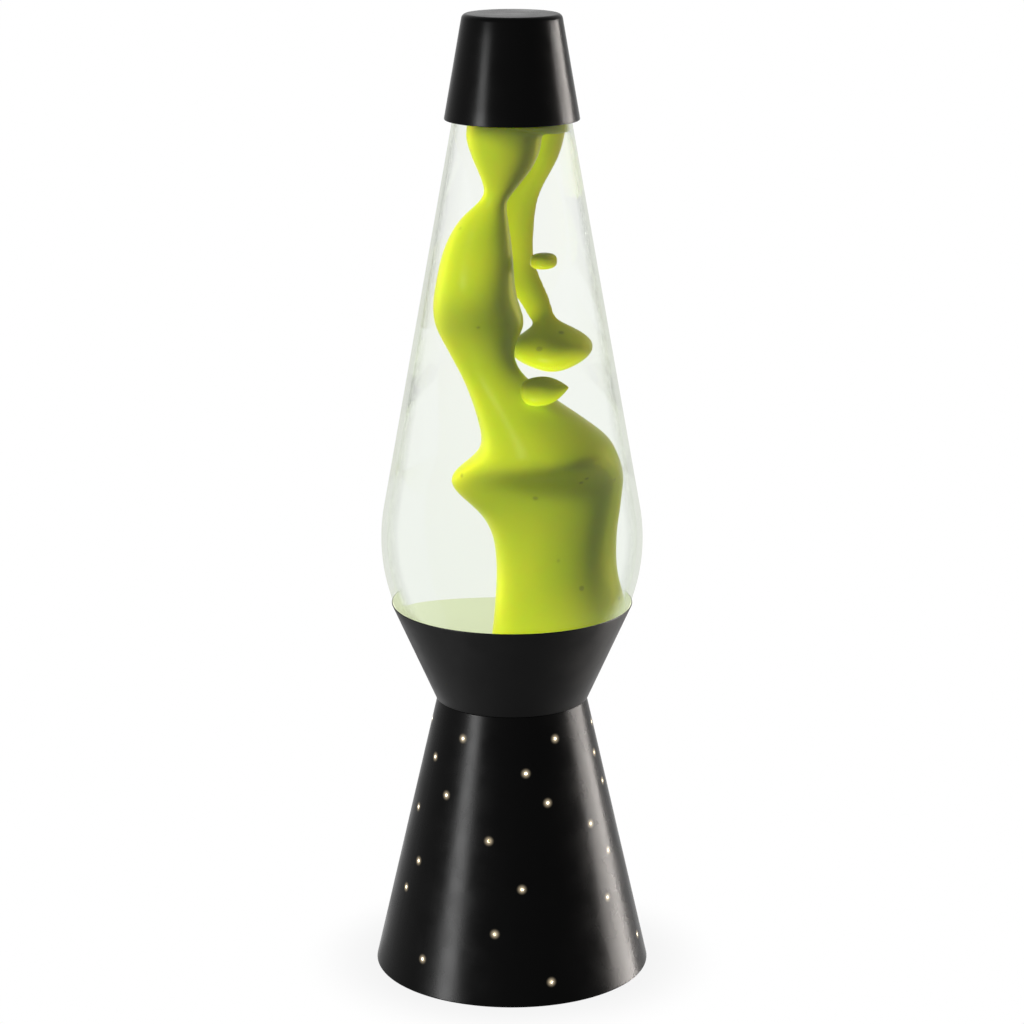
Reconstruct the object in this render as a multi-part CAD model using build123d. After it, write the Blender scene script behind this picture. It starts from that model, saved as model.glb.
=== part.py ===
from build123d import *
import os
from math import atan, cos, pi, radians, sin, sqrt, tan

# A lava lamp: a tapered glass globe of liquid and wax in a flared cup, on a pin-holed cone
# with the bulb inside, and a loose cap over the crown-corked neck.
# Millimetres, +Z up. The origin is on the axis, in the plane that the feet stand on.

# ---- driving dimensions ---------------------------------------------------------------
# Bulb: medium screw base, small pear shape
BULB_LENGTH = 89.0
BULB_R = 24.0
BULB_GLASS_T = 0.8
SHELL_R = 13.0           # over the screw ridges
SCREW_PITCH = 3.63
SCREW_TURNS = 4
SCREW_DEPTH = 0.8
SHELL_T = 0.35           # sheet of the screw shells
SHELL_H = 18.0
THREAD_SHARES = (0.15, 0.4, 0.6, 0.85)   # one ridge: foot, crest, crest, foot over a pitch
BULB_SEAL_DEPTH = 3.0    # glass inside the screw shell
BULB_NECK_H = 15.0
BULB_PEAR_SHARE = 1.4    # round end's height over the bulb's radius
BULB_ROUNDS = (20.0, 25.0)
ROUND_SLACK = 0.1        # keeps a full round end just off the axis
TIP_R = 4.5
TIP_H = 1.5
INSULATOR_H = 4.5
INSULATOR_STEP = 0.5      # insulator past the tip, and under the shell
INSULATOR_LIP = 1.0
FILAMENT_DROP = 28.0     # filament below the top of the bulb
FILAMENT_HALF = 8.0
FILAMENT_TAIL = 1.0       # filament past each lead
LEAD_D = 0.6
STEM_R = 4.0
STEM_H = 20.0
STEM_ROUND = 4.0
LEAD_ROOT_SHARE = 0.9    # height on the stem where the leads come out

# Base cone, spun from sheet
BASE_R = 62.2            # outer radius at the lower edge
WAIST_Z = 126.4          # height of the joint between cone and cup
SHELL_WALL = 1.0         # sheet thickness of cone and cap
GROUND_GAP = 0.6         # lower edge above the table
HEM_W = 5.0              # width of the edge rolled in under the bottom plate
PLATE_T = 1.2            # bottom plate
BULB_PASS = 3.5          # bulb to the edge of the opening at the waist
FLANGE_W = 6.1           # from that opening to the outside of the waist
BULB_BELOW_WAIST = 10.4  # top of the bulb below the waist

# Pinholes, as (turn from the front in degrees, share of the cone's height): one pattern
# comes three times round the cone and the other twice
PINHOLE_D = 1.3
PINHOLES_IN_THIRDS = (
    (-37, 0.91), (32, 0.914), (-44, 0.704), (22, 0.7), (-43, 0.127), (17, 0.087),
)
PINHOLES_IN_HALVES = (
    (-62, 0.815), (9, 0.807), (72, 0.815), (-71, 0.617), (-13, 0.574), (51, 0.593),
    (-58, 0.447), (5, 0.411), (63, 0.475), (-65, 0.336), (-8, 0.257), (54, 0.324),
)

# Cup, spun from sheet
CUP_R = 54.0             # outer radius at the rim
CUP_H = 44.2
CUP_WALL = 0.6
CUP_OVERHANG = 0.6       # cup's foot past the cone's top

# Globe glass
GLASS_WALL = 2.5
GLOBE_LIFT_GAP = 4.0     # globe to the cup's floor
SEAT_GAP = 0.3           # globe to the cup's rim
PUSH_UP = 2.0            # how far the middle of the underside is raised
FOOT_RING_SHARE = 0.8    # inner edge of the ring it stands on, as a share of its heel
HEEL_STEEPER = 1.9       # degrees that it leans more than the cup, inside the cup
LOWER_ANGLE = 16.9       # lean just above the cup rim, in degrees from upright
SHOULDER_R = 23.4        # top of the tall upper cone
BELLY_RISE = 24.3        # cup rim to the height where the two slopes would meet
BELLY_ROUND = 81.75      # rounding of the belly
UPPER_CONE_H = 205.1     # from there to the shoulder
SHOULDER_H = 9.0
NECK_H = 20.75           # from the shoulder to the lip's top face
LIP_R = 13.3
LIP_H = 5.0
LIP_STEP = 0.5           # lip proud of the neck
MOUTH_WALL = 4.8         # glass at the mouth

# Rounding at each corner of the globe's outline and which way it turns (1 is inwards):
# push-up, foot ring, heel, cup rim, belly, shoulder, neck
GLOBE_ROUNDS = ((2, -1), (4, 1), (6, 1), (40, 1), (BELLY_ROUND, 1), (8, 1), (3, -1))

# Crown cork
CROWN_SHEET = 0.25
CROWN_FLARE = 1.9        # foot of the skirt past the lip
CROWN_H = 6.2
CROWN_FLUTES = 21
CROWN_FLUTE_SHARE = 0.6  # flute's radius over the skirt's flare
CROWN_FLUTE_OUT = 0.1    # flute's centre past the skirt, as a share of its radius
LINER_T = 1.0

# Cap
CAP_H = 45.4
CAP_OVER_GLASS = 3.7     # rim of the cap past the glass
CAP_SLOPE = 0.176        # the side's lean, as rise over height
CAP_EDGE = 2.4           # rounding between side and top

# Fill of the globe
FIT = 0.05               # between things that lie against each other in the globe
POOL_H = 19.0            # molten wax over the globe's underside
TOP_WAX_H = 17.0         # wax under the surface at the top
HEADSPACE_H = 1.0        # surface above the shoulder's start
COIL_RING_R = 22.0       # the heat-spreading wire coil, as the ring it fills
COIL_R = 3.0

# Wax between the pool and the top, as (share of that height, sideways, radius) of round
# sections, drawn for a cup of WAX_CUP_R
WAX_CUP_R = 54.0
COLUMN = (
    (0.0, 11.0, 24.0), (0.034, 15.0, 25.0), (0.09, 17.5, 23.5), (0.171, 14.5, 19.5),
    (0.227, 14.5, 20.5), (0.278, 12.5, 24.5), (0.324, 10.0, 28.0), (0.372, 11.5, 25.5),
    (0.415, 10.5, 20.5), (0.483, 0.5, 13.0), (0.534, -7.0, 9.3), (0.586, -10.0, 10.5),
    (0.637, -11.5, 14.5), (0.71, -12.5, 13.5), (0.782, -11.0, 10.5), (0.825, -9.0, 7.0),
    (0.859, -6.0, 4.0), (0.893, -3.5, 6.0), (0.932, -2.5, 10.0), (1.0, -3.0, 12.0),
)
STRAND_Y = 10.0
STRAND = (
    (0.534, 12.5, 5.0), (0.551, 12.5, 9.5), (0.577, 12.5, 11.2), (0.598, 12.0, 8.2),
    (0.616, 11.0, 3.8), (0.637, 10.0, 2.2), (0.667, 7.5, 2.8), (0.701, 4.5, 3.6),
    (0.76, 3.0, 2.6), (0.85, 3.0, 3.4), (0.889, 5.5, 3.6), (0.932, 8.0, 3.6),
    (1.0, 10.0, 3.6),
)
# Free drops, as (sideways, back, share of the height), half width and half height
UPPER_DROP_AT = (10.5, -4.0, 0.748)
UPPER_DROP_SIZE = (4.7, 3.6)
UPPER_DROP_TRAVEL = (20.0, 20.0)     # down, up
LOWER_DROP_AT = (12.5, -20.0, 0.518)
LOWER_DROP_SIZE = (9.5, 6.4)
LOWER_DROP_TILT = 8.0
LOWER_DROP_TRAVEL = (2.0, 28.0)
DROP_GAP = 0.6                       # liquid to a free drop

# Socket and its bracket
SOCKET_H = 33.0
SOCKET_WALL = 2.8
SOCKET_FLOOR = 4.0
SOCKET_FOOT_STEP = 1.5
SOCKET_ROUNDS = (1.5, 1.0, 1.0, 1.2)
TERMINAL_H = 6.0         # wire screws over the socket's foot
TIP_ABOVE_FLOOR = 2.0    # bulb's tip over the socket's floor, on the contact
THREAD_GAP = 0.4         # bulb shell to socket shell
CONTACT_W = 7.0
CONTACT_T = 0.4
CONTACT_RAMP = 3.0       # sideways run of each sloping side
CONTACT_END_GAP = 2.0    # its ends to the socket's bore
CONTACT_HOLE_GAP = 1.0
SOCKET_SHELL_LIFT = 4.0  # screw shell over the contact
SOCKET_SHELL_DROP = 2.0  # and below the socket's top
BRACKET_W = 14.0
BRACKET_T = 1.2
BRACKET_TOP_W = 44.0
BRACKET_FOOT_L = 9.0
SOCKET_SCREW_X = 10.0

# Small hardware
RIVET_R = 1.6
RIVET_HEAD_R = 2.4
RIVET_HEAD_H = 1.0
RIVET_COUNT = 3
RIVET_TURN = 90.0        # the first one is at the back
RIVET_ROUND_SHARE = 0.6  # rounding of a head over its height
SCREW_R = 1.75
SCREW_HEAD_R = 3.3
SCREW_HEAD_H = 2.2
SCREW_SLOT_W = 1.0
HOLE_GAP = 0.15
FOOT_R = 6.0
FOOT_PITCH_R = 46.0
FOOT_COUNT = 4
VENT_COUNT = 12
VENT_W = 4.0
VENT_L = 13.0
VENT_PITCH_R = 42.0

# Grommet of the cord inlet, low at the back
GROMMET_Z = 15.0
GROMMET_BORE_R = 3.3
GROMMET_HOLE_R = 5.2
GROMMET_FLANGE_R = 7.4
GROMMET_FLANGE_T = 1.6

# ---- worked out from them -------------------------------------------------------------
LAMP_HOLE_R = BULB_R + BULB_PASS
WAIST_R = LAMP_HOLE_R + FLANGE_W
CUP_FOOT_R = WAIST_R + CUP_OVERHANG
CUP_RIM_Z = WAIST_Z + CUP_H
BASE_SLOPE = (BASE_R - WAIST_R) / (WAIST_Z - GROUND_GAP)
CUP_SLOPE = (CUP_R - CUP_FOOT_R) / CUP_H
PLATE_Z = GROUND_GAP + SHELL_WALL
PLATE_TOP_Z = PLATE_Z + PLATE_T

GLOBE_FOOT_Z = WAIST_Z + CUP_WALL + GLOBE_LIFT_GAP
BELLY_CORNER_Z = CUP_RIM_Z + BELLY_RISE
SHOULDER_Z = BELLY_CORNER_Z + UPPER_CONE_H
NECK_Z = SHOULDER_Z + SHOULDER_H
LIP_TOP_Z = NECK_Z + NECK_H
NECK_R = LIP_R - LIP_STEP
MOUTH_R = LIP_R - MOUTH_WALL
CROWN_TOP_Z = LIP_TOP_Z + LINER_T + CROWN_SHEET
CAP_TOP_Z = CROWN_TOP_Z + SHELL_WALL
CAP_RIM_Z = CAP_TOP_Z - CAP_H

SEAT_R = CUP_R - CUP_WALL - SEAT_GAP
BELLY_R = SEAT_R + BELLY_RISE * tan(radians(LOWER_ANGLE))
UPPER_SLOPE = (BELLY_R - SHOULDER_R) / UPPER_CONE_H
CAP_RIM_R = SHOULDER_R + (SHOULDER_Z - CAP_RIM_Z) * UPPER_SLOPE + CAP_OVER_GLASS
CAP_TOP_R = CAP_RIM_R - CAP_H * CAP_SLOPE

POOL_Z = GLOBE_FOOT_Z + POOL_H
FILL_Z = SHOULDER_Z + HEADSPACE_H
TOP_WAX_Z = FILL_Z - TOP_WAX_H

BULB_TOP_Z = WAIST_Z - BULB_BELOW_WAIST
BULB_TIP_Z = BULB_TOP_Z - BULB_LENGTH
SHELL_Z = BULB_TIP_Z + TIP_H + INSULATOR_H
BULB_SEAL_Z = SHELL_Z + SHELL_H - BULB_SEAL_DEPTH
BULB_NECK_R = SHELL_R - SHELL_T - HOLE_GAP - SHELL_T
FILAMENT_Z = BULB_TOP_Z - FILAMENT_DROP
SOCKET_Z = BULB_TIP_Z - TIP_ABOVE_FLOOR - SOCKET_FLOOR
SOCKET_BORE = SHELL_R + THREAD_GAP + SHELL_T + HOLE_GAP
SOCKET_R = SOCKET_BORE + SOCKET_WALL + SOCKET_FOOT_STEP
TERMINAL_Z = SOCKET_Z + TERMINAL_H


def wax_z(share):
    """Height of a share of the way from the pool to the wax at the top."""
    return POOL_Z + share * (TOP_WAX_Z - POOL_Z)


def wax_r(size):
    """Sideways size of wax, drawn for WAX_CUP_R, in this globe."""
    return size * CUP_R / WAX_CUP_R


def base_radius(z):
    """Outer radius of the base cone at a height."""
    return BASE_R - (z - GROUND_GAP) * BASE_SLOPE


def cup_radius(z):
    """Outer radius of the cup at a height."""
    return CUP_FOOT_R + (z - WAIST_Z) * CUP_SLOPE


def turned(path, rest):
    """Solid of revolution about Z of an outline: a path, then straight lines through rest."""
    corners = [path @ 1, *[Vector(r, 0, z) for r, z in rest], path @ 0]
    return revolve(make_face(path + Polyline(*corners)), Axis.Z, 360)


def turned_sharp(points):
    """Solid of revolution about Z of a closed outline of (radius, height) corners."""
    return revolve(make_face(Polyline(*[(r, 0, z) for r, z in points], close=True)), Axis.Z, 360)


def rounded(points, radii):
    """Line through (radius, height) points with its inner corners rounded."""
    return FilletPolyline(*[(r, 0, z) for r, z in points], radius=radii)


def ring(inner, outer, low, high):
    """Plain ring about Z."""
    return turned_sharp([(inner, low), (outer, low), (outer, high), (inner, high)])


def disc(radius, low, high):
    """Plain upright cylinder on the axis."""
    return turned_sharp([(0, low), (radius, low), (radius, high), (0, high)])


def rod(start, end, radius):
    """Round rod between two points."""
    line = Vector(*end) - Vector(*start)
    plane = Plane(origin=start, z_dir=line)
    return extrude(plane * Circle(radius), line.length)


def inset(points, distance):
    """Corners of an open outline moved sideways to its left by a distance."""
    lines = []
    for (r0, z0), (r1, z1) in zip(points, points[1:]):
        length = sqrt((r1 - r0) ** 2 + (z1 - z0) ** 2)
        side = (-(z1 - z0) * distance / length, (r1 - r0) * distance / length)
        lines.append(((r0 + side[0], z0 + side[1]), (r1 - r0, z1 - z0)))
    moved = [lines[0][0]]
    for ((ar, az), (ur, uz)), ((br, bz), (vr, vz)) in zip(lines, lines[1:]):
        t = ((br - ar) * vz - (bz - az) * vr) / (ur * vz - uz * vr)
        moved.append((ar + t * ur, az + t * uz))
    (r, z), (dr, dz) = lines[-1]
    moved.append((r + dr, z + dz))
    return moved


def round_stack(sections, y=0.0):
    """Smooth solid of wax through round level sections of (share, sideways, radius)."""
    return loft([Plane((wax_r(x), wax_r(y), wax_z(share))) * Circle(wax_r(r))
                 for share, x, r in sections])


def polar(count, radius, start=0.0):
    """Points evenly spaced on a circle about the axis."""
    step = 2 * pi / count
    first = radians(start)
    return [(radius * cos(first + k * step), radius * sin(first + k * step)) for k in range(count)]


# ---- globe ----------------------------------------------------------------------------
def globe_outline(depth=0.0):
    """Rounded line of the globe from the middle of its underside to the lip, inset by depth."""
    heel_lean = atan(CUP_SLOPE) + radians(HEEL_STEEPER)
    heel_r = SEAT_R - (CUP_RIM_Z - GLOBE_FOOT_Z) * tan(heel_lean)
    stand_r = heel_r * FOOT_RING_SHARE
    corners = [
        (0, GLOBE_FOOT_Z + PUSH_UP), (stand_r - 2 * PUSH_UP, GLOBE_FOOT_Z + PUSH_UP),
        (stand_r, GLOBE_FOOT_Z), (heel_r, GLOBE_FOOT_Z), (SEAT_R, CUP_RIM_Z),
        (BELLY_R, BELLY_CORNER_Z), (SHOULDER_R, SHOULDER_Z), (NECK_R, NECK_Z),
        (NECK_R, LIP_TOP_Z),
    ]
    radii = [radius - turn * depth for radius, turn in GLOBE_ROUNDS]
    return rounded(inset(corners, depth), radii)


def globe_glass():
    body = turned(globe_outline(), [(0, LIP_TOP_Z)])
    lip = ring(MOUTH_R, LIP_R, LIP_TOP_Z - LIP_H, LIP_TOP_Z)
    lip = fillet(lip.edges().filter_by(GeomType.CIRCLE).group_by(SortBy.RADIUS)[-1], LIP_H / 5)
    return body + lip - cavity()


def cavity(gap=0.0):
    """Inside of the globe, up to the mouth."""
    return turned(globe_outline(GLASS_WALL + gap), [(0, LIP_TOP_Z)])


def heat_coil():
    """The ring that the wire coil fills, on the globe's floor."""
    floor_z = GLOBE_FOOT_Z + PUSH_UP + GLASS_WALL
    return Pos(0, 0, floor_z + COIL_R + 3 * FIT) * Torus(COIL_RING_R, COIL_R)


def level_slab(low, high):
    """Slab wider than the globe between two heights."""
    return disc(2 * CUP_R, low, high)


def wax_pool(coil):
    return (cavity(FIT) & level_slab(GLOBE_FOOT_Z, POOL_Z)) - coil


def wax_top():
    return cavity(FIT) & level_slab(TOP_WAX_Z, FILL_Z)


def drop_place(at):
    """Centre of a free drop."""
    return (wax_r(at[0]), wax_r(at[1]), wax_z(at[2]))


def upper_drop():
    """Small free drop, a flattened ball."""
    half_width, half_height = UPPER_DROP_SIZE
    outline = Spline((0, 0, half_height), (half_width, 0, 0), (0, 0, -half_height),
                     tangents=[(1, 0, 0), (-1, 0, 0)])
    ball = revolve(make_face(outline + Line(outline @ 1, outline @ 0)), Axis.Z, 360)
    return Pos(*drop_place(UPPER_DROP_AT)) * ball


def lower_drop():
    """Larger free drop, drawn out to a point on its right."""
    half_width, half_height = LOWER_DROP_SIZE
    left = (-half_width, 0, 0)
    outline = Spline(left, (-half_width / 3, 0, half_height), (half_width, 0, 0),
                     tangents=[(0, 0, 1), (1, 0, -1)])
    pear = revolve(make_face(outline + Line(outline @ 1, outline @ 0)), Axis.X, 360)
    return Pos(*drop_place(LOWER_DROP_AT)) * Rot(0, -LOWER_DROP_TILT, 0) * pear


def drop_channel(at, reach, half_height, travel):
    """Upright oval channel that a free drop drifts in; reach is its half width and depth."""
    down, up = travel
    x, y, z = drop_place(at)
    outline = Ellipse(reach[0] + DROP_GAP, reach[1] + DROP_GAP)
    place = Plane((x, y, z - half_height - DROP_GAP - down))
    return extrude(place * outline, 2 * (half_height + DROP_GAP) + down + up)


def liquid(wax):
    filled = cavity(FIT) & level_slab(POOL_Z + FIT, TOP_WAX_Z - FIT)
    for piece in wax:
        filled -= piece
    half_width, half_height = UPPER_DROP_SIZE
    filled -= drop_channel(UPPER_DROP_AT, (half_width, half_width), half_height,
                           UPPER_DROP_TRAVEL)
    half_width, half_height = LOWER_DROP_SIZE
    rise = half_width * sin(radians(LOWER_DROP_TILT))
    return filled - drop_channel(LOWER_DROP_AT, (half_width + DROP_GAP, half_height + DROP_GAP),
                                 half_height + rise, LOWER_DROP_TRAVEL)


def crown_cap():
    """Crimped cork: a disc with a flared, fluted skirt."""
    inner_r = LIP_R + HOLE_GAP
    low = CROWN_TOP_Z - CROWN_H
    skirt_r = LIP_R + CROWN_FLARE
    outer = turned_sharp([(0, low), (skirt_r, low), (skirt_r, low + CROWN_SHEET),
                          (inner_r + 2 * CROWN_SHEET, CROWN_TOP_Z - 2 * CROWN_SHEET),
                          (inner_r, CROWN_TOP_Z), (0, CROWN_TOP_Z)])
    flute_r = (skirt_r - inner_r) * CROWN_FLUTE_SHARE
    skirt_h = CROWN_H - 4 * CROWN_SHEET
    for x, y in polar(CROWN_FLUTES, skirt_r + flute_r * CROWN_FLUTE_OUT):
        outer -= Pos(x, y, low + skirt_h / 2) * Cylinder(flute_r, skirt_h)
    return outer - disc(inner_r, low, CROWN_TOP_Z - CROWN_SHEET)


def crown_liner():
    return disc(LIP_R - HOLE_GAP, LIP_TOP_Z, LIP_TOP_Z + LINER_T)


def cap():
    """Spun cap, resting on the crown cork."""
    corners = [(0, CAP_TOP_Z), (CAP_TOP_R, CAP_TOP_Z), (CAP_RIM_R, CAP_RIM_Z)]
    outer = turned(rounded(corners, [CAP_EDGE]), [(0, CAP_RIM_Z)])
    hollow = rounded(inset(corners, -SHELL_WALL), [CAP_EDGE - SHELL_WALL])
    return outer - turned(hollow, [(0, CAP_RIM_Z - SHELL_WALL)])


# ---- cup and base ---------------------------------------------------------------------
def cup():
    """Spun cup with a floor ring round the opening for the bulb."""
    floor_z = WAIST_Z + CUP_WALL
    sheet = turned_sharp([
        (CUP_R, CUP_RIM_Z), (CUP_FOOT_R, WAIST_Z), (LAMP_HOLE_R, WAIST_Z),
        (LAMP_HOLE_R, floor_z), (cup_radius(floor_z) - CUP_WALL, floor_z),
        (CUP_R - CUP_WALL, CUP_RIM_Z),
    ])
    return sheet - rivet_holes()


def rivet_spots():
    pitch_r = (LAMP_HOLE_R + WAIST_R - SHELL_WALL) / 2
    return polar(RIVET_COUNT, pitch_r, RIVET_TURN)


def rivet_holes():
    holes = [Pos(x, y, WAIST_Z) * Cylinder(RIVET_R + HOLE_GAP / 2, 4 * SHELL_WALL)
             for x, y in rivet_spots()]
    return Part() + holes


def rivet(low, high):
    """Rivet on the axis through a stack from low to high."""
    shank = disc(RIVET_R, low, high)
    heads = [ring(0, RIVET_HEAD_R, low - RIVET_HEAD_H, low),
             ring(0, RIVET_HEAD_R, high, high + RIVET_HEAD_H)]
    piece = shank + heads
    ends = piece.edges().filter_by(GeomType.CIRCLE).sort_by(Axis.Z)
    return fillet([ends[0], ends[-1]], RIVET_HEAD_H * RIVET_ROUND_SHARE)


def waist_rivets():
    one = rivet(WAIST_Z - SHELL_WALL, WAIST_Z + CUP_WALL)
    return Compound([Pos(x, y, 0) * one for x, y in rivet_spots()])


def pinholes():
    """Drills for the pinholes, square to the cone's wall."""
    lean = atan(BASE_SLOPE)
    spots = [(turn + k * 360 / copies, share)
             for pattern, copies in ((PINHOLES_IN_THIRDS, 3), (PINHOLES_IN_HALVES, 2))
             for turn, share in pattern for k in range(copies)]
    drills = []
    for turn, share in spots:
        z = WAIST_Z * share
        east, south = sin(radians(turn)), cos(radians(turn))
        outward = (east * cos(lean), -south * cos(lean), sin(lean))
        at = Plane((base_radius(z) * east, -base_radius(z) * south, z), z_dir=outward)
        drills.append(at * Cylinder(PINHOLE_D / 2, 4 * SHELL_WALL))
    return drills


def cone_sheet():
    """Wall of the base cone with its rolled hem and its flange under the cup."""
    across = SHELL_WALL / cos(atan(BASE_SLOPE))
    hem_z = GROUND_GAP + SHELL_WALL
    flange_z = WAIST_Z - SHELL_WALL
    sheet = turned_sharp([
        (BASE_R, GROUND_GAP), (WAIST_R, WAIST_Z), (LAMP_HOLE_R, WAIST_Z),
        (LAMP_HOLE_R, flange_z), (base_radius(flange_z) - across, flange_z),
        (base_radius(hem_z) - across, hem_z), (BASE_R - HEM_W, hem_z),
        (BASE_R - HEM_W, GROUND_GAP),
    ])
    edges = sheet.edges().filter_by(GeomType.CIRCLE).group_by(SortBy.RADIUS)
    return fillet(edges[-1], SHELL_WALL / 2)


def inlet_plane():
    """Plane on the cone's wall, low at the back, facing out."""
    lean = atan(BASE_SLOPE)
    return Plane((0, base_radius(GROMMET_Z), GROMMET_Z), x_dir=(1, 0, 0),
                 z_dir=(0, cos(lean), sin(lean)))


def base_cone():
    shell = cone_sheet() - pinholes() - rivet_holes()
    return shell - inlet_plane() * Cylinder(GROMMET_HOLE_R + HOLE_GAP, 6 * SHELL_WALL)


def cord_grommet():
    """Bush of the cord inlet, gripping the cone's wall."""
    inner_z = -SHELL_WALL - GROMMET_FLANGE_T - GROMMET_FLANGE_R ** 2 / (2 * BASE_R)
    bush = Cylinder(GROMMET_FLANGE_R, GROMMET_FLANGE_T - inner_z,
                    align=(Align.CENTER, Align.CENTER, Align.MIN))
    bush = fillet(bush.edges().filter_by(GeomType.CIRCLE), GROMMET_FLANGE_T / 2)
    bush -= Pos(0, 0, -inner_z / 2) * Cylinder(GROMMET_BORE_R, 8 * GROMMET_FLANGE_T)
    placed = inlet_plane() * Pos(0, 0, inner_z) * bush
    neck = inlet_plane() * Cylinder(GROMMET_HOLE_R, 6 * SHELL_WALL)
    return placed - (cone_sheet() - neck)


def bottom_plate():
    """Vented plate held by the cone's hem."""
    edge_r = base_radius(PLATE_TOP_Z) - SHELL_WALL / cos(atan(BASE_SLOPE)) - HOLE_GAP
    plate = disc(edge_r, PLATE_Z, PLATE_TOP_Z)
    slot = SlotOverall(VENT_L, VENT_W)
    for k in range(VENT_COUNT):
        turn = (k + 0.5) * 360 / VENT_COUNT
        place = Plane((0, 0, PLATE_Z)) * Rot(0, 0, turn) * Pos(VENT_PITCH_R, 0)
        plate -= extrude(place * slot, PLATE_T)
    return cross_holes(plate, bracket_rivet_spots(), RIVET_R + HOLE_GAP / 2, PLATE_Z)


def rubber_feet():
    pad = disc(FOOT_R, 0, PLATE_Z)
    pad = fillet(pad.edges().filter_by(GeomType.CIRCLE).sort_by(Axis.Z)[0], PLATE_Z / 4)
    return Compound([Pos(x, y, 0) * pad for x, y in polar(FOOT_COUNT, FOOT_PITCH_R)])


# ---- socket ---------------------------------------------------------------------------
def strip(points, width):
    """Bent strip of the outline (sideways, height), centred across Y."""
    outline = Polyline(*[(x, 0, z) for x, z in points], close=True)
    return extrude(make_face(outline), width / 2, both=True)


def cross_holes(part, spots, radius, z):
    """Part with upright holes through it near a height."""
    for x in spots:
        part -= Pos(x, 0, z) * Cylinder(radius, 3 * SOCKET_FLOOR)
    return part


def socket_bracket():
    """Bent strip that carries the socket above the bottom plate."""
    low, high, t = PLATE_TOP_Z, SOCKET_Z, BRACKET_T
    side = BRACKET_TOP_W / 2
    end = side + BRACKET_FOOT_L
    half = [(side - t, high - t), (side - t, low), (end, low), (end, low + t),
            (side, low + t), (side, high)]
    part = strip(half + [(-x, z) for x, z in reversed(half)], BRACKET_W)
    bends = part.edges().filter_by(Axis.Y)
    part = fillet(bends.filter_by_position(Axis.Z, high - t / 2, high + t / 2), t)
    part = cross_holes(part, bracket_rivet_spots(), RIVET_R + HOLE_GAP / 2, low)
    return cross_holes(part, socket_screw_spots(), SCREW_R + HOLE_GAP / 2, high)


def bracket_rivet_spots():
    middle = (BRACKET_TOP_W + BRACKET_FOOT_L) / 2
    return (-middle, middle)


def socket_screw_spots():
    return (-SOCKET_SCREW_X, SOCKET_SCREW_X)


def bracket_rivets():
    one = rivet(PLATE_Z, PLATE_TOP_Z + BRACKET_T)
    return Compound([Pos(x, 0, 0) * one for x in bracket_rivet_spots()])


def socket_screws():
    """Screws up through the bracket into the socket."""
    top = SOCKET_Z - BRACKET_T
    one = disc(SCREW_R, top, SOCKET_Z + SOCKET_FLOOR - HOLE_GAP)
    head = fillet(disc(SCREW_HEAD_R, top - SCREW_HEAD_H, top).edges()
                  .filter_by(GeomType.CIRCLE).sort_by(Axis.Z)[0], SCREW_HEAD_H / 2)
    head -= Pos(0, 0, top - SCREW_HEAD_H) * Box(2 * SCREW_HEAD_R, SCREW_SLOT_W, SCREW_HEAD_H)
    return Compound([Pos(x, 0, 0) * (one + head) for x in socket_screw_spots()])


def socket_body():
    """Glazed holder with a bore for the screw shell."""
    top = SOCKET_Z + SOCKET_H
    waist_r = SOCKET_R - SOCKET_FOOT_STEP
    step_z = SOCKET_Z + SOCKET_H / 3
    outline = rounded([(0, SOCKET_Z), (SOCKET_R, SOCKET_Z), (SOCKET_R, step_z),
                       (waist_r, step_z + SOCKET_FOOT_STEP), (waist_r, top), (0, top)],
                      list(SOCKET_ROUNDS))
    body = turned(outline, [])
    body -= disc(SOCKET_BORE, SOCKET_Z + SOCKET_FLOOR, top)
    body = cross_holes(body, socket_screw_spots(), SCREW_R + HOLE_GAP / 2, SOCKET_Z)
    for side in (-1, 1):
        y = side * (SOCKET_R + SOCKET_BORE) / 2
        hole = Plane((0, y, TERMINAL_Z), z_dir=(0, 1, 0)) * Cylinder(SCREW_R + HOLE_GAP, SOCKET_R)
        body -= hole
    return body


def socket_shell():
    """Screw shell pressed in the socket."""
    outer = SOCKET_BORE - HOLE_GAP
    low = SOCKET_Z + SOCKET_FLOOR + CONTACT_T + SOCKET_SHELL_LIFT
    return ring(outer - SHELL_T, outer, low, SOCKET_Z + SOCKET_H - SOCKET_SHELL_DROP)


def socket_contact():
    """Springy tongue under the bulb's tip."""
    low, t = SOCKET_Z + SOCKET_FLOOR, CONTACT_T
    high = BULB_TIP_Z
    foot_x, end_x = TIP_R + CONTACT_RAMP, SOCKET_BORE - CONTACT_END_GAP
    half = [(TIP_R, high - t), (foot_x, low), (end_x, low),
            (end_x, low + t), (foot_x + t, low + t), (TIP_R + t, high)]
    part = strip(half + [(-x, z) for x, z in reversed(half)], CONTACT_W)
    return cross_holes(part, socket_screw_spots(), SCREW_R + CONTACT_HOLE_GAP, low)


def terminal_screws():
    """Brass screws for the two wires, one on each side of the socket."""
    outer = SOCKET_R
    shank = disc(SCREW_R, SOCKET_BORE + HOLE_GAP, outer)
    head = disc(SCREW_HEAD_R, outer, outer + SCREW_HEAD_H)
    head = fillet(head.edges().filter_by(GeomType.CIRCLE).sort_by(Axis.Z)[-1], SCREW_HEAD_H / 3)
    head -= Pos(0, 0, outer + SCREW_HEAD_H) * Box(2 * SCREW_HEAD_R, SCREW_SLOT_W, SCREW_HEAD_H)
    return Compound([Plane((0, 0, TERMINAL_Z), z_dir=(0, side, 0)) * (shank + head)
                     for side in (-1, 1)])


# ---- bulb -----------------------------------------------------------------------------
def bulb_tip():
    tip = disc(TIP_R, BULB_TIP_Z, BULB_TIP_Z + TIP_H)
    return fillet(tip.edges().filter_by(GeomType.CIRCLE).sort_by(Axis.Z)[0], TIP_H / 2)


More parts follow.
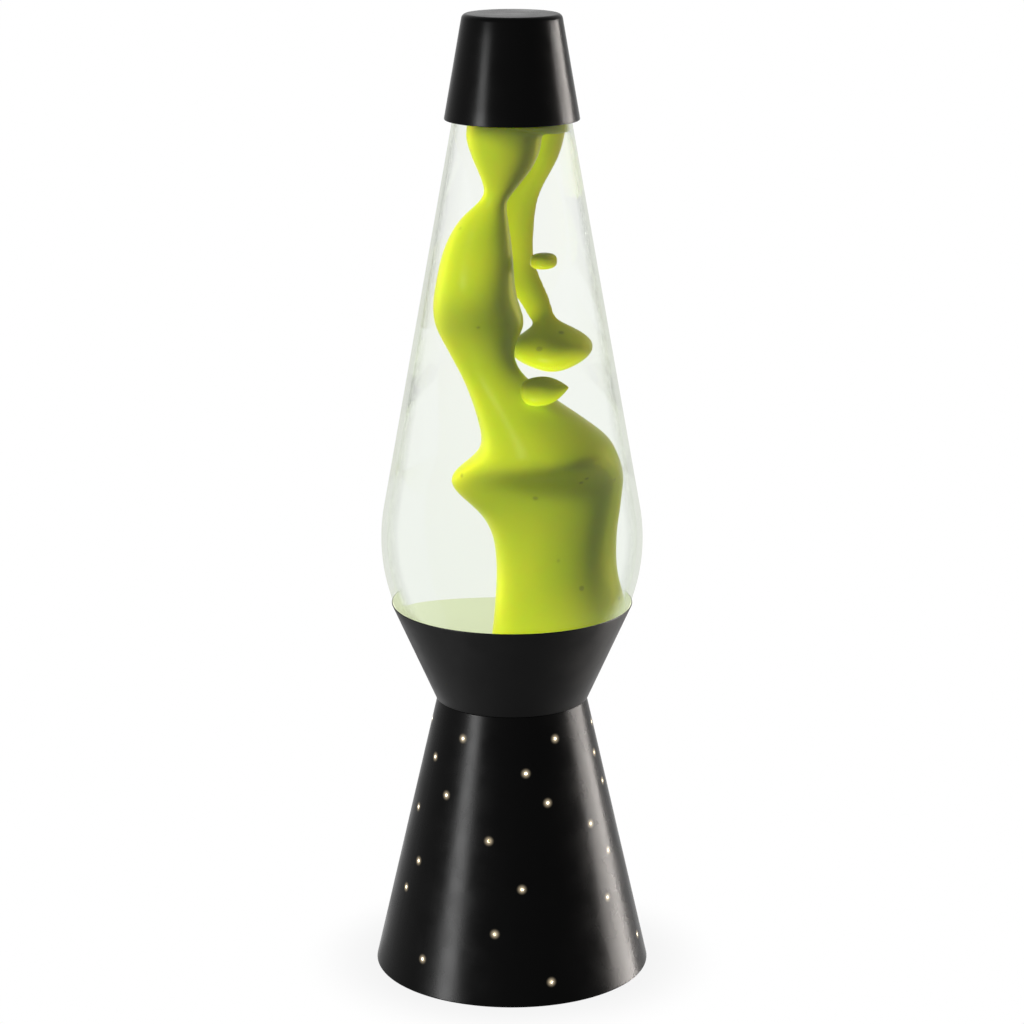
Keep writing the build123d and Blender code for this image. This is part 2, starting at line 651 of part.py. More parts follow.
def bulb_insulator():
    low = BULB_TIP_Z + TIP_H
    inner = shell_root()
    top = SHELL_Z + INSULATOR_LIP
    return turned_sharp([(0, low), (TIP_R + INSULATOR_STEP, low),
                         (inner - INSULATOR_LIP, SHELL_Z - INSULATOR_STEP),
                         (inner - HOLE_GAP, SHELL_Z), (inner - HOLE_GAP, top), (0, top)])


def shell_root():
    """Inner radius of the screw shell at its smallest."""
    return SHELL_R - SCREW_DEPTH - SHELL_T


def bulb_shell():
    """Screw shell, with its thread as closed ridges."""
    root_r = SHELL_R - SCREW_DEPTH
    points = [(root_r, SHELL_Z)]
    for k in range(SCREW_TURNS):
        low = SHELL_Z + k * SCREW_PITCH
        points += [(r, low + SCREW_PITCH * share)
                   for r, share in zip((root_r, SHELL_R, SHELL_R, root_r), THREAD_SHARES)]
    top = SHELL_Z + SHELL_H
    collar_z = SHELL_Z + SCREW_TURNS * SCREW_PITCH
    outer = points + [(root_r, collar_z), (SHELL_R, collar_z + SCREW_DEPTH), (SHELL_R, top)]
    inner = [(SHELL_R - SHELL_T, top), (SHELL_R - SHELL_T, collar_z + SCREW_DEPTH),
             (shell_root(), collar_z), (shell_root(), SHELL_Z)]
    return turned_sharp(outer + inner)


def bulb_glass():
    """Thin pear-shaped envelope, sealed at its neck to the stem."""
    low = BULB_SEAL_Z
    corners = [(BULB_NECK_R, low), (BULB_NECK_R, low + BULB_NECK_H),
               (BULB_R, BULB_TOP_Z - BULB_PEAR_SHARE * BULB_R), (BULB_R, BULB_TOP_Z),
               (0, BULB_TOP_Z)]
    radii = [*BULB_ROUNDS, BULB_R - ROUND_SLACK]
    outer = turned(rounded(corners, radii), [(0, low)])
    t = BULB_GLASS_T
    inner = rounded(inset(corners, t), [radii[0] + t, radii[1] - t, radii[2] - t])
    return outer - turned(inner, [(0, low)])


def bulb_stem():
    """Glass flare and press that carries the leads."""
    low = BULB_SEAL_Z
    outer_r = BULB_NECK_R - BULB_GLASS_T
    path = rounded([(outer_r, low), (STEM_R, low + STEM_H / 3), (STEM_R, low + STEM_H)],
                   [STEM_ROUND])
    return turned(path, [(0, low + STEM_H), (0, low)])


def lead_wires(stem):
    """Two leads from the stem's press to the ends of the filament."""
    foot_z = BULB_SEAL_Z + STEM_H * LEAD_ROOT_SHARE
    wires = [rod((side * STEM_R / 2, 0, foot_z), (side * FILAMENT_HALF, 0, FILAMENT_Z), LEAD_D / 2)
             for side in (-1, 1)]
    return Compound([wire - stem for wire in wires])


def bulb_filament(leads):
    end = FILAMENT_HALF + FILAMENT_TAIL
    wire = rod((-end, 0, FILAMENT_Z), (end, 0, FILAMENT_Z), LEAD_D)
    return wire - leads


# ---- the parts ------------------------------------------------------------------------
def build():
    """All nodes by name."""
    coil = heat_coil()
    wax = {"wax_pool": wax_pool(coil), "wax_top": wax_top()}
    wax["wax_column"] = round_stack(COLUMN)
    wax["wax_strand"] = round_stack(STRAND, STRAND_Y)
    stem = bulb_stem()
    leads = lead_wires(stem)
    return {
        "cap": cap(), "crown_cap": crown_cap(), "crown_liner": crown_liner(),
        "globe_glass": globe_glass(), "liquid": liquid([wax["wax_column"], wax["wax_strand"]]),
        **wax, "wax_drop_upper": upper_drop(), "wax_drop_lower": lower_drop(),
        "heat_coil": coil, "cup": cup(), "base_cone": base_cone(),
        "waist_rivets": waist_rivets(), "bottom_plate": bottom_plate(),
        "rubber_feet": rubber_feet(), "cord_grommet": cord_grommet(),
        "socket_bracket": socket_bracket(), "bracket_rivets": bracket_rivets(),
        "socket_screws": socket_screws(), "socket_body": socket_body(),
        "socket_shell": socket_shell(), "socket_contact": socket_contact(),
        "terminal_screws": terminal_screws(), "bulb_tip": bulb_tip(),
        "bulb_insulator": bulb_insulator(), "bulb_shell": bulb_shell(),
        "bulb_glass": bulb_glass(), "bulb_stem": stem, "bulb_leads": leads,
        "bulb_filament": bulb_filament(leads),
    }


os.makedirs("parts", exist_ok=True)
for name, piece in build().items():
    export_step(piece, f"parts/{name}.step")
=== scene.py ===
import logging
import math
from dataclasses import dataclass
from enum import Enum
from typing import Any, Callable, Iterable, Sequence

import bmesh
import bpy
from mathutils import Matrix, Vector


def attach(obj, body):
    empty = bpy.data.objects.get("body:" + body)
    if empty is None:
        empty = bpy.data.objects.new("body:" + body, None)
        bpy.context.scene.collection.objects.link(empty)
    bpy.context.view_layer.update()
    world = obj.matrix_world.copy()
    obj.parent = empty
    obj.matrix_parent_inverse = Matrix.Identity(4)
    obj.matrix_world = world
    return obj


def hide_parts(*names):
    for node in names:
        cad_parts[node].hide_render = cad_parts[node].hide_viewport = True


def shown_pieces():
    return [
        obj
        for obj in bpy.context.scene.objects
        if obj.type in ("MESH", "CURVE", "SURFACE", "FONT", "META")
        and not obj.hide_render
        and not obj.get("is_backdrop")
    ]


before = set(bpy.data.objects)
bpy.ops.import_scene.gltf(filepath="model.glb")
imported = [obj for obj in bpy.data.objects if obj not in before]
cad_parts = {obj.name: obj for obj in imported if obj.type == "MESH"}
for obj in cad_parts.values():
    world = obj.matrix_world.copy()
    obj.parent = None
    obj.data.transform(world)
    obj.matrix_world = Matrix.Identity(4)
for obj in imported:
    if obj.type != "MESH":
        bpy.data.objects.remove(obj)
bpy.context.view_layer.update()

MM = 0.001
LOG = logging.getLogger("lamp")

Ring = tuple[float, float]
Colour = tuple[float, float, float, float]
Rows = tuple[tuple[float, ...], ...]
Piece = bpy.types.Object
Tree = bpy.types.NodeTree
Socket = bpy.types.NodeSocket
PRINCIPLED = "ShaderNodeBsdfPrincipled"
MAP_RANGE = "ShaderNodeMapRange"
SMOOTH = {"interpolation_type": "SMOOTHSTEP"}


# ---- small tools ----------------------------------------------------------------------
def linear(hex_colour: str) -> Colour:
    """Turn an sRGB hex colour into the linear colour that a shader takes.

    Args:
        hex_colour: six hex digits, with or without a leading hash.

    Returns:
        Red, green, blue and alpha, alpha always 1.
    """
    digits = hex_colour.lstrip("#")
    channels = [int(digits[k:k + 2], 16) / 255 for k in (0, 2, 4)]
    bent = [c / 12.92 if c <= 0.04045 else ((c + 0.055) / 1.055) ** 2.4 for c in channels]
    return (*bent, 1.0)


def add_node(tree: Tree, kind: str, props: dict[str, Any] | None = None,
             **inputs: Any) -> bpy.types.Node:
    """Add a node, set its properties and fill or link its inputs.

    Args:
        tree: the node tree to add to.
        kind: the node's type name.
        props: attributes of the node itself, such as its operation.
        inputs: values or output sockets by input name, with _ for a space, or in0, in1 by
            place.

    Returns:
        The new node.
    """
    made = tree.nodes.new(kind)
    for name, value in (props or {}).items():
        setattr(made, name, value)
    for name, value in inputs.items():
        place = name[2:] if name.startswith("in") else ""
        socket = made.inputs[int(place) if place.isdigit() else name.replace("_", " ")]
        if isinstance(value, Socket):
            tree.links.new(value, socket)
        else:
            socket.default_value = value
    return made


def rounded_outline(corners: Sequence[Ring], radii: Sequence[float],
                    step_deg: float = 4.0) -> list[Ring]:
    """Points of an outline whose inner corners are rounded by tangent arcs.

    Args:
        corners: (radius, height) corners in millimetres.
        radii: one rounding for each inner corner, 0 for a sharp one.
        step_deg: the most that one straight piece of an arc turns.

    Returns:
        (radius, height) points in millimetres.
    """
    points = [corners[0]]
    for before, corner, after, radius in zip(corners, corners[1:], corners[2:], radii):
        here = Vector(corner)
        back = (Vector(before) - here).normalized()
        ahead = (Vector(after) - here).normalized()
        half = back.angle(ahead) / 2
        if radius <= 0:
            points.append(corner)
            continue
        reach = radius / math.tan(half)
        centre = here + (back + ahead).normalized() * (radius / math.sin(half))
        start, end = here + back * reach - centre, here + ahead * reach - centre
        first = math.atan2(start.y, start.x)
        turn = (math.atan2(end.y, end.x) - first + math.pi) % (2 * math.pi) - math.pi
        steps = max(1, math.ceil(abs(math.degrees(turn)) / step_deg))
        for k in range(steps + 1):
            angle = first + turn * k / steps
            points.append((centre.x + radius * math.cos(angle),
                           centre.y + radius * math.sin(angle)))
    points.append(corners[-1])
    return points


def inset(corners: Sequence[Ring], distance: float) -> list[Ring]:
    """Move the corners of an open outline sideways to its left.

    Args:
        corners: (radius, height) corners.
        distance: how far to move each side.

    Returns:
        The moved corners.
    """
    sides = []
    for (r0, z0), (r1, z1) in zip(corners, corners[1:]):
        length = math.hypot(r1 - r0, z1 - z0)
        shift = (-(z1 - z0) * distance / length, (r1 - r0) * distance / length)
        sides.append(((r0 + shift[0], z0 + shift[1]), (r1 - r0, z1 - z0)))
    moved = [sides[0][0]]
    for ((ar, az), (ur, uz)), ((br, bz), (vr, vz)) in zip(sides, sides[1:]):
        t = ((br - ar) * vz - (bz - az) * vr) / (ur * vz - uz * vr)
        moved.append((ar + t * ur, az + t * uz))
    (r, z), (dr, dz) = sides[-1]
    return [*moved, (r + dr, z + dz)]


class Bench:
    """The operators that pieces are made with."""

    @staticmethod
    def clear() -> None:
        """Leave edit mode and deselect everything."""
        if bpy.context.object and bpy.context.object.mode != "OBJECT":
            bpy.ops.object.mode_set(mode="OBJECT")
        bpy.ops.object.select_all(action="DESELECT")

    @staticmethod
    def activate(piece: Piece) -> None:
        """Make a piece the only selected and the active one.

        Args:
            piece: the piece to work on.
        """
        Bench.clear()
        piece.select_set(True)
        bpy.context.view_layer.objects.active = piece

    @staticmethod
    def lathe(name: str, rings: Sequence[Ring], segments: int = 128,
              closed: bool = False) -> Piece:
        """Turn an outline about the axis: a circle, extruded and resized ring by ring.

        Args:
            name: the piece's name.
            rings: (radius, height) in millimetres; a first or last radius of 0 is a pole.
            segments: vertices round each ring.
            closed: True where the last ring joins the first, as on a tube's wall.

        Returns:
            The piece, smooth shaded.
        """
        Bench.clear()
        body = [(r * MM, z * MM) for r, z in rings]
        start_pole = body[0][0] <= 0
        end_pole = body[-1][0] <= 0
        body = body[1:] if start_pole else body
        radius, height = body[0]
        bpy.ops.mesh.primitive_circle_add(vertices=segments, radius=radius,
                                          location=(0, 0, height))
        piece = bpy.context.object
        piece.name = name
        bpy.ops.object.transform_apply(location=True, rotation=True, scale=True)
        bpy.ops.object.mode_set(mode="EDIT")
        bpy.ops.mesh.select_all(action="SELECT")
        if start_pole:
            Bench._pole(piece, rings[0][1] * MM - height)
        for (r0, z0), (r1, z1) in zip(body, body[1:] if not end_pole else body[1:-1]):
            bpy.ops.mesh.extrude_region_move(TRANSFORM_OT_translate={"value": (0, 0, z1 - z0)})
            bpy.ops.transform.resize(value=(r1 / r0, r1 / r0, 1), center_override=(0, 0, z1))
        if end_pole:
            Bench._pole(piece, body[-1][1] - body[-2][1])
        bpy.ops.object.mode_set(mode="OBJECT")
        if closed:
            Bench._close(piece)
        Bench.tidy(piece)
        return piece

    @staticmethod
    def flow(name: str, rows: Sequence[Sequence[float]], segments: int = 32
             ) -> Piece:
        """Pull a closed soft body upwards through level oval sections.

        Args:
            name: the piece's name.
            rows: (height, left, right, middle towards the back, half depth) in millimetres.
            segments: vertices round each section.

        Returns:
            The body, subdivided smooth.
        """
        ovals = [((right + left) / 2 * MM, y * MM, z * MM, (right - left) / 2 * MM, deep * MM)
                 for z, left, right, y, deep in rows]
        x, y, z, half, deep = ovals[0]
        Bench.clear()
        bpy.ops.mesh.primitive_circle_add(vertices=segments, radius=half, location=(x, y, z),
                                          fill_type="NGON")
        piece = bpy.context.object
        piece.name = name
        Bench.settle(piece)
        bpy.ops.object.mode_set(mode="EDIT")
        bpy.ops.mesh.select_all(action="SELECT")
        bpy.ops.transform.resize(value=(1, deep / half, 1), center_override=(x, y, z))
        for (x0, y0, z0, h0, d0), (x1, y1, z1, h1, d1) in zip(ovals, ovals[1:]):
            move = (x1 - x0, y1 - y0, z1 - z0)
            bpy.ops.mesh.extrude_region_move(TRANSFORM_OT_translate={"value": move})
            bpy.ops.transform.resize(value=(h1 / h0, d1 / d0, 1),
                                     center_override=(x1, y1, z1))
        bpy.ops.object.mode_set(mode="OBJECT")
        Bench.apply(piece, "SUBSURF", levels=2, render_levels=2)
        Bench.tidy(piece, 180)
        return piece

    @staticmethod
    def _pole(piece: Piece, rise: float) -> None:
        """Cap the selected ring with a fan to a point on the axis, then reselect the ring.

        Args:
            piece: the piece in edit mode.
            rise: how far the point lies above the ring, in metres.
        """
        ring = bmesh.from_edit_mesh(piece.data)
        chosen = [v.index for v in ring.verts if v.select]
        bpy.ops.mesh.extrude_region_move(TRANSFORM_OT_translate={"value": (0, 0, rise)})
        bpy.ops.mesh.merge(type="CENTER")
        bpy.ops.mesh.select_all(action="DESELECT")
        ring = bmesh.from_edit_mesh(piece.data)
        ring.verts.ensure_lookup_table()
        for index in chosen:
            ring.verts[index].select_set(True)
        ring.select_flush(True)
        bmesh.update_edit_mesh(piece.data)

    @staticmethod
    def _close(piece: Piece) -> None:
        """Bridge the first and the last ring of a wall.

        Args:
            piece: the piece with two open rings.
        """
        Bench.pick_edges(piece, lambda e: len(e.link_faces) == 1)
        bpy.ops.mesh.bridge_edge_loops()
        bpy.ops.object.mode_set(mode="OBJECT")

    @staticmethod
    def pick_edges(piece: Piece, wanted: Callable[[Any], bool]) -> None:
        """Open a piece in edit mode with the wanted edges selected.

        Args:
            piece: the piece.
            wanted: says of an edge whether it is wanted.
        """
        Bench.activate(piece)
        bpy.ops.object.mode_set(mode="EDIT")
        bpy.ops.mesh.select_mode(type="EDGE")
        bpy.ops.mesh.select_all(action="DESELECT")
        mesh = bmesh.from_edit_mesh(piece.data)
        for edge in mesh.edges:
            if wanted(edge):
                edge.select_set(True)
        bmesh.update_edit_mesh(piece.data)

    @staticmethod
    def tidy(piece: Piece, angle: float = 35.0) -> None:
        """Merge doubles, turn the faces outward and shade by angle.

        Args:
            piece: the piece.
            angle: faces that meet at less than this many degrees shade as one.
        """
        Bench.activate(piece)
        bpy.ops.object.mode_set(mode="EDIT")
        bpy.ops.mesh.select_mode(type="VERT")
        bpy.ops.mesh.select_all(action="SELECT")
        bpy.ops.mesh.remove_doubles(threshold=1e-6)
        bpy.ops.mesh.normals_make_consistent(inside=False)
        bpy.ops.object.mode_set(mode="OBJECT")
        bpy.ops.object.shade_smooth_by_angle(angle=math.radians(angle))

    @staticmethod
    def apply(piece: Piece, kind: str, **settings: Any) -> None:
        """Add a modifier with its settings and apply it.

        Args:
            piece: the piece.
            kind: the modifier's type.
            settings: its settings by name.
        """
        Bench.activate(piece)
        made = piece.modifiers.new(kind.title(), kind)
        for name, value in settings.items():
            setattr(made, name, value)
        bpy.ops.object.modifier_apply(modifier=made.name)

    @staticmethod
    def copy(source: Piece, name: str) -> Piece:
        """A copy with its own mesh.

        Args:
            source: the piece to copy.
            name: the copy's name.

        Returns:
            The copy, visible.
        """
        twin = source.copy()
        twin.data = source.data.copy()
        twin.name = name
        bpy.context.scene.collection.objects.link(twin)
        twin.hide_render = False
        twin.hide_viewport = False
        return twin

    @staticmethod
    def join(pieces: Sequence[Piece], name: str) -> Piece:
        """Join pieces into the first of them.

        Args:
            pieces: the pieces, at least one.
            name: the joined piece's name.

        Returns:
            The joined piece.
        """
        Bench.clear()
        for piece in pieces:
            piece.select_set(True)
        bpy.context.view_layer.objects.active = pieces[0]
        bpy.ops.object.join()
        pieces[0].name = name
        return pieces[0]

    @staticmethod
    def settle(piece: Piece) -> Piece:
        """Put a piece's place and turn into its mesh.

        Args:
            piece: the piece.

        Returns:
            The same piece, at the origin.
        """
        Bench.activate(piece)
        bpy.ops.object.transform_apply(location=True, rotation=True, scale=True)
        return piece


# ---- finishes -------------------------------------------------------------------------
@dataclass(frozen=True)
class Finish:
    """A surface finish, made as a material on first use."""

    name: str

    def material(self) -> bpy.types.Material:
        """The material, made once.

        Returns:
            The material.
        """
        known = bpy.data.materials.get(self.name)
        if known:
            return known
        made = bpy.data.materials.new(self.name)
        made.use_nodes = True
        made.node_tree.nodes.clear()
        self.shade(made.node_tree)
        return made

    def shade(self, tree: Tree) -> None:
        """Fill the node tree."""
        raise NotImplementedError

    def dress(self, *pieces: Piece) -> None:
        """Give pieces this finish all over.

        Args:
            pieces: the pieces.
        """
        for piece in pieces:
            slots = piece.data.materials
            if not slots:
                slots.append(None)
            for k in range(len(slots)):
                slots[k] = self.material()

    @staticmethod
    def place(tree: Tree) -> Socket:
        """The piece's own coordinates, in metres."""
        return add_node(tree, "ShaderNodeTexCoord").outputs["Object"]

    @staticmethod
    def noise(tree: Tree, size_mm: float, detail: float = 2.0,
              stretch: tuple[float, float, float] = (1, 1, 1)) -> Socket:
        """Noise whose lumps are about size_mm across.

        Args:
            tree: its nodes.
            size_mm: width of a lump.
            detail: how many finer layers it has.
            stretch: scale of the coordinates.

        Returns:
            The noise, 0 to 1.
        """
        spread = add_node(tree, "ShaderNodeMapping", {"vector_type": "POINT"},
                          Vector=Finish.place(tree), Scale=stretch)
        made = add_node(tree, "ShaderNodeTexNoise", Vector=spread.outputs[0],
                        Scale=1 / (size_mm * MM), Detail=detail)
        return made.outputs["Fac"]

    @staticmethod
    def spread(tree: Tree, source: Socket, low: float,
               high: float, start: float = 0.3, end: float = 0.7) -> Socket:
        """A noise brought to lie between two values.

        Args:
            tree: its nodes.
            source: the noise.
            low: value at start.
            high: value at end.
            start: noise that gives low.
            end: noise that gives high.

        Returns:
            The value.
        """
        made = add_node(tree, MAP_RANGE, {"clamp": True}, Value=source,
                        From_Min=start, From_Max=end, To_Min=low, To_Max=high)
        return made.outputs[0]

    @staticmethod
    def blend(tree: Tree, factor: Socket, low: str, high: str) -> Socket:
        """A colour between two sRGB hex ones.

        Args:
            tree: its nodes.
            factor: 0 for low, 1 for high.
            low: the one colour.
            high: the other.

        Returns:
            The colour.
        """
        made = add_node(tree, "ShaderNodeMix", {"data_type": "RGBA"}, Factor=factor,
                        in6=linear(low), in7=linear(high))
        return made.outputs[2]

    @staticmethod
    def bump(tree: Tree, height: Socket, depth_mm: float,
             normal: Socket | None = None) -> Socket:
        """A bump of a real depth from a height of 0 to 1.

        Args:
            tree: its nodes.
            height: the height.
            depth_mm: its depth at 1.
            normal: a normal to start from.

        Returns:
            The bumped normal.
        """
        links = {"Normal": normal} if normal else {}
        made = add_node(tree, "ShaderNodeBump", Height=height, Strength=1.0,
                        Distance=depth_mm * MM, **links)
        return made.outputs[0]

    @staticmethod
    def output(tree: Tree, shader: Socket) -> None:
        """Send a shader to the surface."""
        add_node(tree, "ShaderNodeOutputMaterial", Surface=shader)


@dataclass(frozen=True)
class SprayedEnamel(Finish):
    """Black enamel sprayed on spun aluminium: a slight orange peel softens its reflections."""

    colour: str = "141414"
    roughness: float = 0.25
    specular: float = 0.5
    peel_mm: float = 1.6
    peel_depth_mm: float = 0.002
    spin_mm: float = 1.2
    spin_depth_mm: float = 0.001
    dust_mm: float = 14.0

    def shade(self, tree: Tree) -> None:
        """Orange peel, faint spinning rings and a little dust in the roughness.

        Args:
            tree: its nodes.
        """
        peel = self.noise(tree, self.peel_mm)
        rings = self.noise(tree, self.spin_mm, 1.0, (0.02, 0.02, 1.0))
        normal = self.bump(tree, rings, self.spin_depth_mm,
                           self.bump(tree, peel, self.peel_depth_mm))
        rough = self.spread(tree, self.noise(tree, self.dust_mm, 3.0), self.roughness * 0.85,
                            self.roughness * 1.2)
        paint = add_node(tree, PRINCIPLED, Base_Color=linear(self.colour),
                         Roughness=rough, Specular_IOR_Level=self.specular, Normal=normal)
        self.output(tree, paint.outputs[0])


@dataclass(frozen=True)
class PinholeEnamel(SprayedEnamel):
    """The cone's enamel with a painted glow round each pinhole, standing in for the lamplight
    that spills through it.
    """

    spots: tuple[tuple[float, float, int], ...] = ()
    slope: float = 0.22
    foot_r: float = 62.3
    hole_r: float = 0.65
    spill_r: float = 2.7
    spill: float = 0.6
    fall: float = 2.2
    light: str = "FFEAC6"

    def painted_pinhole_glow(self, tree: Tree) -> Socket:
        """Painted glow by the distance to the nearest pinhole, worked out round the cone.

        Args:
            tree: its nodes.

        Returns:
            The strength of the painted glow.
        """
        def step(kind: str, operation: str, *values: Any) -> bpy.types.Node:
            """One step of arithmetic on numbers or vectors."""
            inputs = {f"in{k}": value for k, value in enumerate(values)}
            return add_node(tree, kind, {"operation": operation}, **inputs)

        number, vector = "ShaderNodeMath", "ShaderNodeVectorMath"
        at = add_node(tree, "ShaderNodeSeparateXYZ", Vector=self.place(tree)).outputs
        back = step(number, "MULTIPLY", at[1], -1.0).outputs[0]
        turn = step(number, "ARCTAN2", at[0], back).outputs[0]
        here = add_node(tree, "ShaderNodeCombineXYZ", X=turn, Y=at[2]).outputs[0]
        nearest: Any = 1.0
        for degrees, z, copies in self.spots:
            half = math.pi / copies
            radius = (self.foot_r - self.slope * z) * MM
            spot = (math.radians(degrees), z * MM, 0)
            away = step(vector, "SUBTRACT", here, spot).outputs[0]
            away = step(vector, "WRAP", away, (half, 1, 1), (-half, -1, -1)).outputs[0]
            away = step(vector, "MULTIPLY", away, (radius, math.hypot(1, self.slope), 0))
            away = step(vector, "LENGTH", away.outputs[0]).outputs["Value"]
            nearest = step(number, "MINIMUM", away, nearest).outputs[0]
        fade = add_node(tree, MAP_RANGE, Value=nearest, From_Min=self.hole_r * MM,
                        From_Max=self.spill_r * MM, To_Min=1.0, To_Max=0.0)
        bent = step(number, "POWER", fade.outputs[0], self.fall).outputs[0]
        return step(number, "MULTIPLY", bent, self.spill).outputs[0]

    def shade(self, tree: Tree) -> None:
        """The enamel with the painted glow round the pinholes on it.

        Args:
            tree: its nodes.
        """
        super().shade(tree)
        paint = next(n for n in tree.nodes if n.type == "BSDF_PRINCIPLED")
        # painted glow: the enamel emits warm light round each pinhole, standing in for the
        # bulb's light spilling through
        paint.inputs["Emission Color"].default_value = linear(self.light)
        tree.links.new(self.painted_pinhole_glow(tree), paint.inputs["Emission Strength"])


@dataclass(frozen=True)
class ClearGlass(Finish):
    """Clear glass or liquid: bends what is behind it, and greener where it is thicker."""

    ior: float = 1.5
    tint: str = "F6FBF6"
    deep_tint: str = "F6FBF6"
    deep_z_mm: float = 180.0
    thin_z_mm: float = 330.0
    rim: float = 0.0
    rim_from: float = 0.48
    rim_to: float = 0.74
    rim_tint: str = "EEF0EB"

    def shade(self, tree: Tree) -> None:
        """Glass for sight, clear for lamps, so that they reach the wax.

        Args:
            tree: its nodes.
        """
        height = add_node(tree, "ShaderNodeSeparateXYZ", Vector=self.place(tree)).outputs[2]
        share = add_node(tree, MAP_RANGE, {"clamp": True}, Value=height,
                         From_Min=self.deep_z_mm * MM, From_Max=self.thin_z_mm * MM)
        tint = self.blend(tree, share.outputs[0], self.deep_tint, self.tint)
        glass = add_node(tree, PRINCIPLED, Base_Color=tint,
                         Roughness=0.0, IOR=self.ior, Transmission_Weight=1.0)
        clear = add_node(tree, "ShaderNodeBsdfTransparent", Color=linear(self.tint))
        path = add_node(tree, "ShaderNodeLightPath")
        mixed = add_node(tree, "ShaderNodeMixShader", in0=path.outputs["Is Shadow Ray"],
                         in1=glass.outputs[0], in2=clear.outputs[0])
        if self.rim:
            # painted pale edge: at grazing angles a grey see-through stands in for the pale
            # edge the globe shows, in place of the dark edge that refraction gives
            facing = add_node(tree, "ShaderNodeLayerWeight", Blend=0.5).outputs["Facing"]
            painted_pale_edge = add_node(tree, MAP_RANGE, SMOOTH,
                              Value=facing, From_Min=self.rim_from, From_Max=self.rim_to,
                              To_Max=self.rim)
            grey = add_node(tree, "ShaderNodeBsdfTransparent", Color=linear(self.rim_tint))
            mixed = add_node(tree, "ShaderNodeMixShader", in0=painted_pale_edge.outputs[0],
                             in1=mixed.outputs[0], in2=grey.outputs[0])
        self.output(tree, mixed.outputs[0])


@dataclass(frozen=True)
class LitWax(Finish):
    """Molten coloured wax lit through: light scatters deep in it and warms its thin edges."""

    colour: str = "CCDE14"
    deep: str = "DAE21A"
    depth_mm: float = 3.0
    reach: tuple[float, float, float] = (1.0, 0.7, 0.1)
    roughness: float = 0.3
    specular: float = 0.06
    cloud_mm: float = 30.0
    skin_mm: float = 9.0
    skin_depth_mm: float = 0.05
    speck_pitch_mm: float = 14.0

    def shade(self, tree: Tree) -> None:
        """Scattering wax with faint clouds and a few dark specks in it.

        Args:
            tree: its nodes.
        """
        clouds = self.spread(tree, self.noise(tree, self.cloud_mm, 1.0), 0.0, 1.0)
        tint = self.blend(tree, clouds, self.colour, self.deep)
        specks = add_node(tree, "ShaderNodeTexVoronoi", Vector=self.place(tree),
                          Scale=1 / (self.speck_pitch_mm * MM))
        fleck = add_node(tree, MAP_RANGE, SMOOTH,
                         Value=specks.outputs["Distance"], From_Min=0.06, From_Max=0.1,
                         To_Min=0.7, To_Max=1.0)
        tint = add_node(tree, "ShaderNodeVectorMath", {"operation": "SCALE"},
                        in0=tint, Scale=fleck.outputs[0])
        skin = self.bump(tree, self.noise(tree, self.skin_mm, 1.0), self.skin_depth_mm)
        wax = add_node(tree, PRINCIPLED, Base_Color=tint.outputs[0],
                       Roughness=self.roughness, IOR=1.44,
                       Specular_IOR_Level=self.specular, Subsurface_Weight=1.0,
                       Subsurface_Radius=self.reach, Subsurface_Scale=self.depth_mm * MM,
                       Normal=skin)
        self.output(tree, wax.outputs[0])


@dataclass(frozen=True)
class BareMetal(Finish):
    """Bare sheet, wire or turned metal with its working marks."""

    colour: str = "B9B9B6"
    roughness: float = 0.3
    mark_mm: float = 0.6
    mark_depth_mm: float = 0.004

    def shade(self, tree: Tree) -> None:
        """Metal with fine marks and slightly uneven gloss.

        Args:
            tree: its nodes.
        """
        marks = self.noise(tree, self.mark_mm, 3.0)
        rough = self.spread(tree, marks, self.roughness * 0.75, self.roughness * 1.35)
        metal = add_node(tree, PRINCIPLED, Base_Color=linear(self.colour),
                         Metallic=1.0, Roughness=rough,
                         Normal=self.bump(tree, marks, self.mark_depth_mm))
        self.output(tree, metal.outputs[0])


@dataclass(frozen=True)
class Moulded(Finish):
    """Moulded, glazed or cast material with a fine skin."""

    colour: str = "1A1A1A"
    roughness: float = 0.5
    grain_mm: float = 0.5
    grain_depth_mm: float = 0.01
    patch_mm: float = 6.0

    def shade(self, tree: Tree) -> None:
        """One colour with a little unevenness and a fine skin.

        Args:
            tree: its nodes.
        """
        rough = self.spread(tree, self.noise(tree, self.patch_mm, 3.0), self.roughness * 0.85,
                            min(1.0, self.roughness * 1.2))
        skin = self.bump(tree, self.noise(tree, self.grain_mm), self.grain_depth_mm)
        body = add_node(tree, PRINCIPLED, Base_Color=linear(self.colour),
                        Roughness=rough, Normal=skin)
        self.output(tree, body.outputs[0])


@dataclass(frozen=True)
class LampLit(Finish):
    """A face that glows: on the cone's and the cup's inner faces a painted glow that stands in
    for the bulb's and the wax's light, showing warm through the pinholes; on the filament the
    lamp's own light.
    """

    colour: str = "FFF0D2"
    strength: float = 1.4
    uneven: float = 0.2
    wall: str = "E8E4DA"
    patch_mm: float = 25.0

    def shade(self, tree: Tree) -> None:
        """Warm glow, painted uneven like a wall lit by one bulb.

        Args:
            tree: its nodes.
        """
        # painted light: on the inner faces this emission stands in for the bulb's light; only
        # the filament is a real lamp
        painted_glow_patches = self.spread(tree, self.noise(tree, self.patch_mm),
                              self.strength * (1 - self.uneven),
                              self.strength * (1 + self.uneven))
        wall = add_node(tree, PRINCIPLED, Base_Color=linear(self.wall),
                        Roughness=0.6, Specular_IOR_Level=0.05,
                        Emission_Color=linear(self.colour),
                        Emission_Strength=painted_glow_patches)
        self.output(tree, wall.outputs[0])


